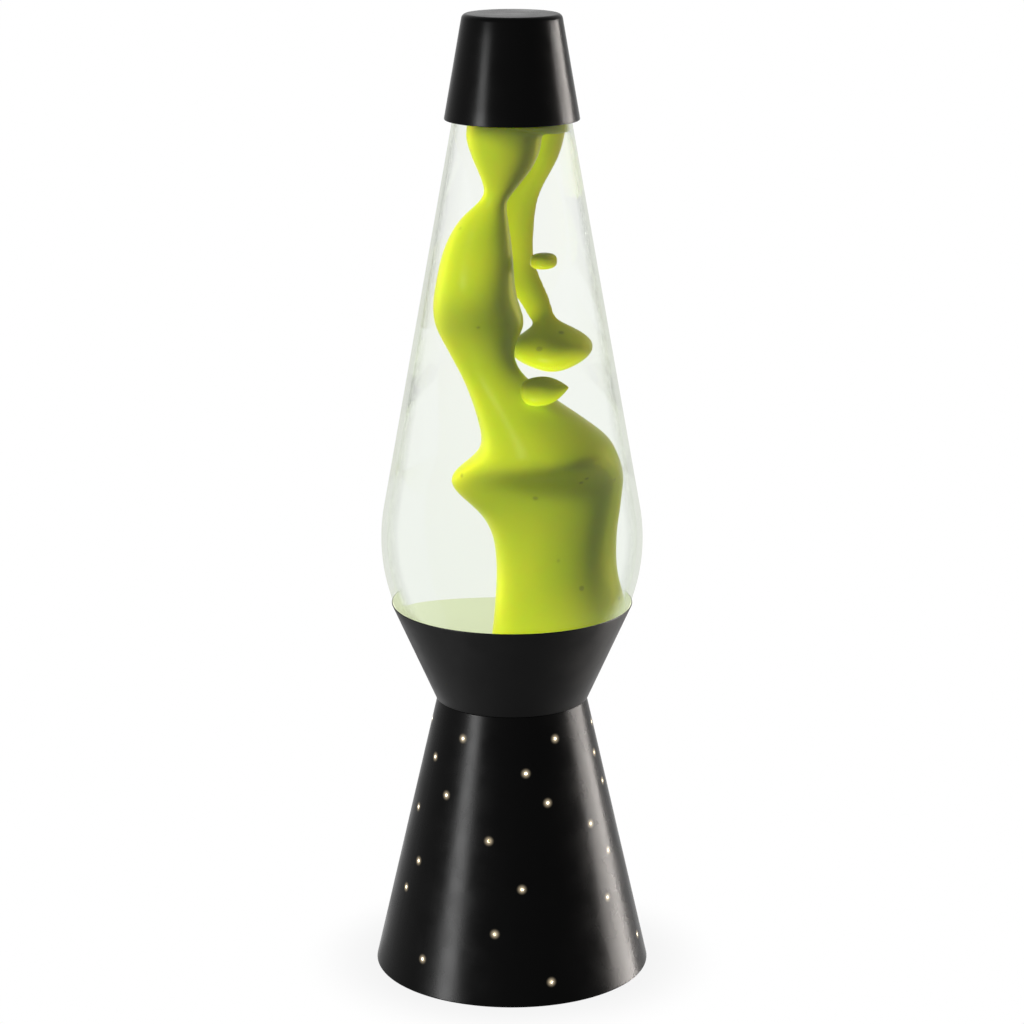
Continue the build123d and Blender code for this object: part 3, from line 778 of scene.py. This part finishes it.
class Finishes:
    """The lamp's finishes by name."""

    cap = SprayedEnamel("sprayed_enamel_cap", "020202", 0.24, 0.03)
    cup = SprayedEnamel("sprayed_enamel_cup", "050505", 0.38, 0.05)
    bottle = ClearGlass("liquid_filled_soda_lime_glass", 1.37, "F8FAF7", "F3F6F2", rim=0.9)
    liquid = ClearGlass("clear_lamp_liquid", 1.0, "FCFDFB", "FAFCF8")
    envelope = ClearGlass("blown_bulb_glass", 1.1, "FFFFFF")
    wax = LitWax("molten_wax")
    tinplate = BareMetal("crimped_tinplate", "C4C2BC", 0.28, 0.8)
    zinc = BareMetal("zinc_plated_steel", "AEB1B0", 0.38, 1.5)
    wire = BareMetal("drawn_spring_wire", "9A9A98", 0.3, 0.2)
    rivet = BareMetal("headed_aluminium", "C9CACB", 0.35, 0.5)
    brass = BareMetal("pressed_brass", "C9A45C", 0.3, 0.7)
    shell = BareMetal("rolled_aluminium_shell", "C5C6C6", 0.25, 0.5)
    solder = BareMetal("soft_solder", "9C9B97", 0.45, 0.8)
    nickel = BareMetal("nickel_wire", "A8A49A", 0.3, 0.2)
    porcelain = Moulded("glazed_porcelain", "E4E0D2", 0.18, 2.0, 0.01)
    rubber = Moulded("moulded_rubber", "0B0B0B", 0.75, 0.4, 0.02)
    nylon = Moulded("moulded_nylon", "141414", 0.45, 0.5, 0.01)
    liner = Moulded("pressed_liner", "D8D2C2", 0.7, 0.4, 0.02)
    vitrite = Moulded("black_bulb_insulator", "0B0B0B", 0.15, 1.5, 0.01)
    # painted glows on the cone's and the cup's inner faces; the filament's glow is the lamp's
    # own
    lamp_lit = LampLit("lamp_lit_inside")
    lamp_lit_cup = LampLit("lamp_lit_cup_inside", "E4EAC8", 1.02, 0.05, "060605")
    filament = LampLit("glowing_tungsten", "FFD08A", 40.0)


# ---- sub-assemblies -------------------------------------------------------------------
@dataclass
class Globe:
    """Glass globe with its liquid."""

    foot_z: float = 131.0
    push_up: float = 2.0
    seat_r: float = 53.1
    seat_z: float = 170.6
    heel_r: float = 33.5
    foot_share: float = 0.8
    belly_r: float = 60.48
    belly_z: float = 194.9
    shoulder_r: float = 23.4
    shoulder_z: float = 400.0
    neck_r: float = 12.8
    neck_z: float = 409.0
    lip_top_z: float = 429.75
    lip_r: float = 13.3
    lip_h: float = 5.0
    mouth_r: float = 8.5
    wall: float = 2.5
    meniscus: float = 0.8
    fill_z: float = 401.0

    def corners(self) -> list[Ring]:
        """Corners of the outer outline, from the middle of the underside to the lip.

        Returns:
            (radius, height) corners in millimetres.
        """
        stand_r = self.heel_r * self.foot_share
        return [(0, self.foot_z + self.push_up), (stand_r - 4, self.foot_z + self.push_up),
                (stand_r, self.foot_z), (self.heel_r, self.foot_z), (self.seat_r, self.seat_z),
                (self.belly_r, self.belly_z), (self.shoulder_r, self.shoulder_z),
                (self.neck_r, self.neck_z), (self.neck_r, self.lip_top_z)]

    def outline(self, depth: float) -> list[Ring]:
        """Rounded outline at a depth in the glass.

        Args:
            depth: distance from the outer face, in millimetres.

        Returns:
            (radius, height) points in millimetres.
        """
        rounds = ((2, -1), (4, 1), (6, 1), (40, 1), (81.75, 1), (8, 1), (3, -1))
        return rounded_outline(inset(self.corners(), depth),
                               [radius - turn * depth for radius, turn in rounds], 1.5)

    def fill_r(self) -> float:
        """Inner radius of the glass at the liquid's surface."""
        return next(r for r, z in self.outline(self.wall) if z > self.fill_z)

    def glass(self) -> Piece:
        """The bottle with its lip, mouth and dry neck.

        Below the liquid's surface it has no inner face: full of liquid, glass and liquid bend
        light as one body, and an inner face would only lose the light between the two.

        Returns:
            The bottle.
        """
        low = self.lip_top_z - self.lip_h
        lip = rounded_outline([(self.neck_r, low - 0.6), (self.lip_r, low),
                               (self.lip_r, self.lip_top_z), (self.mouth_r, self.lip_top_z),
                               (self.mouth_r, low)], [0.4, 1.2, 1.2], 15)
        inner = [point for point in self.outline(self.wall) if self.fill_z < point[1] < low - 2]
        surface_r = self.fill_r() - self.meniscus
        rings = (self.outline(0)[:-1] + lip + inner[::-1] + [(self.fill_r(), self.fill_z + 1),
                 (surface_r, self.fill_z + 0.1), (0, self.fill_z + 0.1)])
        piece = Bench.lathe("globe_bottle", rings, 192)
        Finishes.bottle.dress(piece)
        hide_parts("globe_glass")
        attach(piece, "globe")
        return piece

    def fill(self) -> Piece:
        """The liquid, which fills the glass up to its surface.

        Returns:
            The liquid.
        """
        wall = [p for p in self.outline(self.wall) if p[1] < self.fill_z - 1]
        rim_r = self.fill_r() - self.meniscus
        piece = Bench.lathe("lamp_liquid", wall + [(rim_r, self.fill_z), (0, self.fill_z)], 192)
        Finishes.liquid.dress(piece)
        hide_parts("liquid")
        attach(piece, "globe")
        return piece


@dataclass
class Wax:
    """The wax: one flowing body and two free drops.

    The rows are level sections: (height, left, right, middle towards the back, half depth).
    """

    voxel_mm: float = 1.2
    pool_z: float = 150.0
    pool_r: float = 39.5
    pool_foot_z: float = 134.5
    pool_foot_r: float = 31.0
    top: Rows = (
        (380, 9, 18, 4, 6), (381, 3, 22.5, 2, 13), (383, -4, 23.2, 1, 17),
        (386, -20, 22.6, 0, 21), (393, -20.5, 21, 0, 20.5), (400, -19, 19, 0, 19),
        (401, -17, 17, 0, 17),
    )
    column: Rows = (
        (144, -18, 33, 0, 26), (151, -11, 35, 0, 25), (161, -7, 38.5, -2, 23),
        (171, -6, 40.5, -3, 21), (181, -5.5, 37, -4, 20), (190, -5, 35, -4, 19),
        (203, -6, 36, -4, 18), (213, -10, 38, -4, 18), (220, -17, 39, -4, 18),
        (226, -21.5, 40.5, -4, 18.5), (232, -20, 41, -7, 21), (237, -16, 40, -11, 25),
        (242, -12, 38.5, -13.5, 27), (247, -10.5, 35, -13, 25), (254, -11.5, 27.5, -12, 21),
        (263, -13.5, 16.5, -9, 16), (273, -16.5, 5, -6, 11), (280, -19.5, 1, -4, 10),
        (287, -22.5, 0.5, -3, 10), (294, -26, 3.5, -3, 12), (300, -28, 4.5, -5, 14),
        (308, -29, 2, -8, 16), (316, -28, 1, -9, 16), (325, -26, 0.5, -7, 14),
        (333, -23, 0, -5, 11), (341, -19, -1, -4, 9), (346, -15, -1.5, -3, 7),
        (351, -10.5, -2, -3, 5), (355, -9, 0.5, -3, 5.5), (359, -10, 3, -3, 6.5),
        (363, -11, 5.5, -3, 8), (368, -13, 8, -3, 9.5), (373, -14.5, 9.5, -3, 10.5),
        (378, -16, 10, -3, 11), (383, -15.5, 9.5, -3, 11), (389, -14.5, 8.5, -2, 10),
    )
    strand: Rows = (
        (273.5, 10.5, 14.5, 9, 2), (275.5, 6.5, 18.5, 9, 6), (279, 1, 23, 9, 9.5),
        (284, -1.5, 25, 9, 11), (290, 1.5, 21.5, 9, 8.5), (294.5, 7, 15.5, 10, 4),
        (297, 5, 12.5, 11, 2.2), (301, 3.5, 11.5, 12, 2.4), (306, 1.5, 10.5, 13, 2.8),
        (312, -2.5, 8.5, 14, 3), (319, -3, 6.5, 15, 3), (326, -3, 5.5, 15, 3),
        (339, -3.5, 6, 15, 3.2), (349, -4.5, 6.5, 15, 3.4), (358, 1.5, 9, 15, 3.6),
        (367, 4.5, 12, 15, 4), (378, 5, 12.5, 15, 4), (388, 5, 12.5, 14, 4),
    )

    def body(self) -> Piece:
        """Pool, column and top layer melted into one skin.

        Returns:
            The skin.
        """
        pool = Bench.lathe("wax_pool_body", [
            (0, self.pool_foot_z), (self.pool_foot_r, self.pool_foot_z),
            (self.pool_r, self.pool_z - 1), (self.pool_r - 1, self.pool_z),
            (0, self.pool_z)], 96)
        top = Bench.flow("wax_top_body", self.top)
        piece = Bench.join([pool, top, Bench.flow("wax_column_body", self.column)],
                           "wax_flow")
        return self.melt(piece, self.voxel_mm, 7, "globe", "wax_pool", "wax_column", "wax_top")

    def hanging(self) -> Piece:
        """The strand that comes down from the top with its drop."""
        piece = Bench.flow("wax_hanging_strand", self.strand)
        return self.melt(piece, 0.7, 6, "globe", "wax_strand")

    def drop(self, node: str) -> Piece:
        """A free drop, from its block's shape.

        Args:
            node: the solid whose shape it takes.

        Returns:
            The drop.
        """
        piece = Bench.copy(bpy.data.objects[node], f"{node}_skin")
        Bench.tidy(piece)
        return self.melt(piece, 0.5, 12, node.replace("wax_", ""), node)

    @staticmethod
    def melt(piece: Piece, voxel_mm: float, rounds: int, body: str,
             *nodes: str) -> Piece:
        """Give a wax shape one smooth skin and its finish.

        Args:
            piece: the rough shape.
            voxel_mm: size of the skin's mesh.
            rounds: how often it is smoothed.
            body: what it moves with.
            nodes: the solids that it stands for.

        Returns:
            The piece.
        """
        Bench.apply(piece, "REMESH", mode="VOXEL", voxel_size=voxel_mm * MM)
        Bench.apply(piece, "SMOOTH", factor=0.5, iterations=rounds)
        Bench.tidy(piece, 180)
        Finishes.wax.dress(piece)
        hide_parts(*nodes)
        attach(piece, body)
        return piece


@dataclass
class Cap:
    """Spun cap with a rolled lower edge."""

    top_z: float = 432.0
    top_r: float = 21.51
    rim_z: float = 386.6
    rim_r: float = 29.5
    edge: float = 2.4
    wall: float = 1.0

    def build(self) -> Piece:
        """The cap, as one closed sheet.

        Returns:
            The cap.
        """
        corners = [(0, self.top_z), (self.top_r, self.top_z), (self.rim_r, self.rim_z)]
        outer = rounded_outline(corners, [self.edge], 8)
        inner = rounded_outline(inset(corners, -self.wall), [self.edge - self.wall], 12)
        lip = rounded_outline([outer[-2], outer[-1], (inner[-1][0], self.rim_z), inner[-2]],
                              [self.wall * 0.35] * 2, 20)[1:-1]
        rings = outer[:-1] + self._side(outer) + lip + inner[::-1][1:]
        piece = Bench.lathe("cap_shell", rings, 160)
        Finishes.cap.dress(piece)
        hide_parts("cap")
        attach(piece, "cap")
        return piece

    @staticmethod
    def _side(outer: Sequence[Ring]) -> list[Ring]:
        """A few rings down the straight side."""
        (r0, z0), (r1, z1) = outer[-2], outer[-1]
        return [(r0 + (r1 - r0) * k / 6, z0 + (z1 - z0) * k / 6) for k in range(1, 6)]


@dataclass
class Cup:
    """Spun cup that holds the globe."""

    rim_z: float = 170.6
    rim_r: float = 54.0
    foot_z: float = 126.4
    foot_r: float = 34.2
    hole_r: float = 27.5
    wall: float = 0.6

    def build(self) -> Piece:
        """The cup, as one closed sheet.

        Returns:
            The cup.
        """
        slope = (self.rim_r - self.foot_r) / (self.rim_z - self.foot_z)
        floor_z = self.foot_z + self.wall
        across = self.wall * math.hypot(1, slope)
        inner_foot = self.foot_r + slope * self.wall - across
        outline = rounded_outline([
            (self.hole_r, floor_z), (self.hole_r, self.foot_z), (self.foot_r, self.foot_z),
            (self.rim_r, self.rim_z), (self.rim_r - self.wall, self.rim_z),
            (inner_foot, floor_z), (self.hole_r + 0.5, floor_z)],
            [0.2, 0.7, 0.25, 0.25, 0.8], 15)
        piece = Bench.lathe("cup_shell", outline, 192, closed=True)
        Finishes.cup.dress(piece)
        # the upward inner faces get a painted reflection: a pale yellow-green glow standing in
        # for wax-tinted light on the bare aluminium
        piece.data.materials.append(Finishes.lamp_lit_cup.material())
        for face in piece.data.polygons:
            inward = face.normal.x * face.center.x + face.normal.y * face.center.y < 0
            if face.normal.z > 0.3 and (inward or face.center.z < floor_z * MM + 1e-4):
                face.material_index = 1
        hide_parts("cup")
        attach(piece, "base")
        return piece


@dataclass
class BaseCone:
    """Spun cone with a rolled hem and pinholes."""

    ground: float = 0.6
    base_r: float = 62.2
    waist_z: float = 126.4
    waist_r: float = 33.6
    hole_r: float = 27.5
    wall: float = 1.0
    hem: float = 5.0
    pinhole_d: float = 1.3
    inlet_z: float = 15.0
    inlet_r: float = 5.35
    smooth_deg: float = 30.0

    def slope(self) -> float:
        """How much the radius falls for each millimetre up."""
        return (self.base_r - self.waist_r) / (self.waist_z - self.ground)

    def radius(self, z: float) -> float:
        """Outer radius at a height."""
        return self.base_r - (z - self.ground) * self.slope()

    def pattern(self) -> tuple[tuple[float, float, int], ...]:
        """Pinholes as (turn from the front in degrees, height, copies round the cone).

        Returns:
            One row for each group of pinholes.
        """
        pairs = ((-37, 0.91), (32, 0.914), (-44, 0.704), (22, 0.7), (-43, 0.127), (17, 0.087))
        triples = ((-62, 0.815), (9, 0.807), (72, 0.815), (-71, 0.617), (-13, 0.574),
                   (51, 0.593), (-58, 0.447), (5, 0.411), (63, 0.475), (-65, 0.336),
                   (-8, 0.257), (54, 0.324))
        return tuple((turn, self.waist_z * share, copies)
                     for spots, copies in ((pairs, 3), (triples, 2)) for turn, share in spots)

    def enamel(self) -> PinholeEnamel:
        """The cone's finish.

        Returns:
            The enamel with the painted glow round the pinholes.
        """
        return PinholeEnamel("sprayed_enamel_cone", "020202", 0.26, 0.028,
                             spots=self.pattern(), slope=self.slope(),
                             foot_r=self.radius(0), hole_r=self.pinhole_d / 2)

    def drills(self) -> Piece:
        """One piece of all the drills for the pinholes and the cord inlet.

        Returns:
            The drills as one piece.
        """
        lean = math.atan(self.slope())
        made = []
        holes = [(turn + 360 * k / copies, z, self.pinhole_d / 2, 16)
                 for turn, z, copies in self.pattern() for k in range(copies)]
        holes.append((180, self.inlet_z, self.inlet_r, 48))
        for turn, z, radius, sides in holes:
            east, south = math.sin(math.radians(turn)), math.cos(math.radians(turn))
            out = Vector((east * math.cos(lean), -south * math.cos(lean), math.sin(lean)))
            at = Vector((self.radius(z) * east, -self.radius(z) * south, z)) * MM
            Bench.clear()
            bpy.ops.mesh.primitive_cylinder_add(
                vertices=sides, radius=radius * MM, depth=5 * self.wall * MM, location=at,
                rotation=out.to_track_quat("Z", "Y").to_euler())
            made.append(bpy.context.object)
        joined = Bench.join(made, "pinhole_drills")
        return Bench.settle(joined)

    def build(self) -> Piece:
        """The cone, drilled; its inner face and its hole walls carry a painted glow that stands
        in for the bulb's light.

        Returns:
            The cone.
        """
        across = self.wall * math.hypot(1, self.slope())
        flange_z, hem_z = self.waist_z - self.wall, self.ground + self.wall
        hem_r = self.base_r - self.hem
        outline = rounded_outline([
            (self.hole_r, flange_z), (self.hole_r, self.waist_z), (self.waist_r, self.waist_z),
            (self.base_r, self.ground), (hem_r, self.ground), (hem_r, hem_z),
            (self.radius(hem_z) - across, hem_z), (self.radius(flange_z) - across, flange_z),
            (self.hole_r + 0.5, flange_z)], [0.2, 0.6, 0.7, 0.3, 0.3, 0.5, 0.5], 15)
        piece = Bench.lathe("pinhole_cone", outline, 192, closed=True)
        drill = self.drills()
        Bench.apply(piece, "BOOLEAN", operation="DIFFERENCE", object=drill, solver="EXACT")
        bpy.data.objects.remove(drill)
        Bench.activate(piece)
        bpy.ops.object.shade_smooth_by_angle(angle=math.radians(self.smooth_deg))
        self.enamel().dress(piece)
        # painted light: the hole walls and the inner face glow as though lit by the bulb
        piece.data.materials.append(Finishes.lamp_lit.material())
        for face in piece.data.polygons:
            spoke = Vector((face.center.x, face.center.y)).length
            depth = self.radius(face.center.z / MM) - spoke / MM
            facing = (face.normal.x * face.center.x + face.normal.y * face.center.y) / spoke
            walled = 0.1 < depth < 0.9 * across and abs(facing) < 0.95
            lined = depth > 0.7 * self.wall and facing < 0
            if (walled or lined) and hem_z + 1 < face.center.z / MM < flange_z - 1:
                face.material_index = 1
        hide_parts("base_cone")
        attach(piece, "base")
        return piece


class Hardware:
    """The CAD nodes that keep their shape and get their finishes."""

    FINISH_OF = {
        "crown_cap": Finishes.tinplate, "crown_liner": Finishes.liner,
        "heat_coil": Finishes.wire, "waist_rivets": Finishes.rivet,
        "bottom_plate": Finishes.zinc, "rubber_feet": Finishes.rubber,
        "cord_grommet": Finishes.nylon, "socket_bracket": Finishes.zinc,
        "bracket_rivets": Finishes.rivet, "socket_screws": Finishes.zinc,
        "socket_body": Finishes.porcelain, "socket_shell": Finishes.brass,
        "socket_contact": Finishes.brass, "terminal_screws": Finishes.brass,
        "bulb_tip": Finishes.solder, "bulb_insulator": Finishes.vitrite,
        "bulb_shell": Finishes.shell, "bulb_glass": Finishes.envelope,
        "bulb_stem": Finishes.envelope, "bulb_leads": Finishes.nickel,
        "bulb_filament": Finishes.filament,
    }

    def dress(self) -> None:
        """Give each node its finish."""
        for name, finish in self.FINISH_OF.items():
            finish.dress(bpy.data.objects[name])


class Lit(Enum):
    """What a lamp shines on: the standing wax and small parts, the hanging and free wax, or
    the painted parts. None shines on the glass, whose gloss is the white room."""

    WAX = "wax_column"
    DROPS = "wax_drops"
    PAINT = "paint"


@dataclass
class Studio:
    """White sweep, soft lights and the camera."""

    height: float = 0.432
    camera_at: tuple[float, float, float] = (0.0, -3.19905, 1.3028)
    camera_pitch: float = 14.263
    camera_lens: float = 112.56
    dim: float = 0.12
    aim_z: float = 0.27
    contact: tuple[float, float] = (0.055, 0.1)

    @staticmethod
    def seen_or_dim(tree: Tree, seen: Any, dim: Any) -> Socket:
        """White where it is looked at, mirrored or seen through glass, and dim as a lamp.

        Args:
            tree: the nodes to add to.
            seen: shader for sight.
            dim: shader for lighting.

        Returns:
            The mixed shader.
        """
        path = add_node(tree, "ShaderNodeLightPath")
        fac = add_node(tree, "ShaderNodeMath", {"operation": "GREATER_THAN"},
                       in0=path.outputs["Diffuse Depth"], in1=0.5)
        made = add_node(tree, "ShaderNodeMixShader", in0=fac.outputs[0], in1=seen, in2=dim)
        return made.outputs[0]

    def world(self) -> None:
        """White surroundings, dim as a light source."""
        world = bpy.data.worlds.new("studio")
        bpy.context.scene.world = world
        world.use_nodes = True
        tree = world.node_tree
        tree.nodes.clear()
        seen = add_node(tree, "ShaderNodeBackground", Color=(1, 1, 1, 1), Strength=1.0)
        dim = add_node(tree, "ShaderNodeBackground", Color=(1, 1, 1, 1), Strength=self.dim)
        add_node(tree, "ShaderNodeOutputWorld",
                 Surface=self.seen_or_dim(tree, seen.outputs[0], dim.outputs[0]))

    def floor(self) -> None:
        """Wide pale floor with a painted contact shadow: a little darker where the lamp stands.
        """
        Bench.clear()
        bpy.ops.mesh.primitive_plane_add(size=60, location=(0, 0, 0))
        floor = bpy.context.object
        floor.name = "studio_floor"
        made = bpy.data.materials.new("floor_white")
        made.use_nodes = True
        tree = made.node_tree
        tree.nodes.clear()
        reach = add_node(tree, "ShaderNodeVectorMath", {"operation": "LENGTH"},
                         in0=Finish.place(tree))
        # painted contact shadow: the glow dims near the foot of the lamp
        shade = add_node(tree, MAP_RANGE, SMOOTH,
                         Value=reach.outputs["Value"], From_Min=self.contact[0],
                         From_Max=self.contact[1], To_Min=0.9, To_Max=1.0)
        glow = add_node(tree, "ShaderNodeEmission", Color=(1, 1, 1, 1),
                        Strength=shade.outputs[0])
        dull = add_node(tree, "ShaderNodeBsdfDiffuse", Color=(0.5, 0.5, 0.5, 1))
        add_node(tree, "ShaderNodeOutputMaterial",
                 Surface=self.seen_or_dim(tree, glow.outputs[0], dull.outputs[0]))
        floor.data.materials.append(made)
        floor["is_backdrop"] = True

    @staticmethod
    def receivers(lit: Lit) -> bpy.types.Collection:
        """The pieces that a kind of lamp shines on.

        Args:
            lit: the kind of lamp.

        Returns:
            A collection of those pieces.
        """
        known = bpy.data.collections.get(lit.value)
        if known:
            return known
        made = bpy.data.collections.new(lit.value)
        kinds = {"cap_shell": Lit.PAINT, "cup_shell": Lit.PAINT, "pinhole_cone": Lit.PAINT,
                 "wax_hanging_strand": Lit.DROPS, "wax_drop_upper_skin": Lit.DROPS,
                 "wax_drop_lower_skin": Lit.DROPS, "globe_bottle": None, "lamp_liquid": None}
        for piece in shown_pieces():
            if kinds.get(piece.name, Lit.WAX) is lit:
                made.objects.link(piece)
        return made

    def lamp(self, name: str, lit: Lit, turn: float, distance: float, height: float,
             size: tuple[float, float], power: float, tint: str = "FFFFFF") -> None:
        """A soft box aimed at the middle of the lamp.

        Args:
            name: the light's name.
            lit: what it shines on.
            turn: its place round the lamp, in degrees from the front towards +X.
            distance: from the axis, in metres.
            height: of its middle, in metres.
            size: width and height in metres.
            power: in watts.
            tint: its colour, in sRGB hex.
        """
        light = bpy.data.lights.new(name, "AREA")
        light.shape = "RECTANGLE"
        light.size, light.size_y = size
        light.energy = power
        light.color = linear(tint)[:3]
        box = bpy.data.objects.new(name, light)
        bpy.context.scene.collection.objects.link(box)
        east, south = math.sin(math.radians(turn)), math.cos(math.radians(turn))
        box.location = (distance * east, -distance * south, height)
        aim = Vector((0, 0, height if lit is Lit.PAINT else self.aim_z)) - box.location
        box.rotation_euler = aim.to_track_quat("-Z", "Y").to_euler()
        box.light_linking.receiver_collection = self.receivers(lit)
        if lit is not Lit.WAX:
            # the floor and the glass do not stand in the way of these
            box.light_linking.blocker_collection = self.receivers(lit)
            light.cycles.use_multiple_importance_sampling = False

    def camera(self) -> None:
        """The camera, looking a little down at the lamp."""
        lens = bpy.data.cameras.new("camera")
        lens.lens = self.camera_lens
        lens.sensor_width = 36
        eye = bpy.data.objects.new("camera", lens)
        bpy.context.scene.collection.objects.link(eye)
        eye.location = [c * self.height for c in self.camera_at]
        eye.rotation_euler = (math.radians(90 - self.camera_pitch), 0, 0)
        bpy.context.scene.camera = eye

    def build(self) -> None:
        """Everything that is not the lamp."""
        self.world()
        self.floor()
        self.camera()
        self.lamp("key_left", Lit.WAX, -48, 0.9, 0.72, (0.25, 0.5), 8.2)
        self.lamp("kicker_left", Lit.WAX, -132, 0.9, 0.35, (0.25, 0.7), 9, "FFF030")
        self.lamp("rim_right", Lit.WAX, 130, 0.9, 0.3, (0.25, 0.8), 4.5, "FFEE80")
        self.lamp("under_drops", Lit.DROPS, -25, 0.4, -0.25, (0.2, 0.2), 4.5, "FFFFD8")
        self.lamp("side_drops", Lit.DROPS, 112, 0.8, 0.3, (0.2, 0.6), 2.2, "FFE870")
        self.lamp("strip_left", Lit.PAINT, -56, 1.5, 0.025, (0.4, 1.35), 116)
        self.lamp("bank_right", Lit.PAINT, 109, 1.5, 0.025, (0.85, 1.35), 148, "FFF8F2")
        view = bpy.context.scene.view_settings
        view.view_transform = "Standard"
        view.look = "None"


def main() -> None:
    """Build the lamp and its studio, and report each piece."""
    logging.basicConfig(level=logging.INFO, format="%(message)s")
    globe, wax = Globe(), Wax()
    makers: Iterable[Callable[[], Any]] = (
        globe.glass, globe.fill, wax.body, wax.hanging, lambda: wax.drop("wax_drop_upper"),
        lambda: wax.drop("wax_drop_lower"), Cap().build, Cup().build, BaseCone().build,
    )
    for make in makers:
        piece = make()
        LOG.info("%s: %d faces", piece.name, len(piece.data.polygons))
    Hardware().dress()
    Studio().build()


if __name__ == "__main__":
    main()
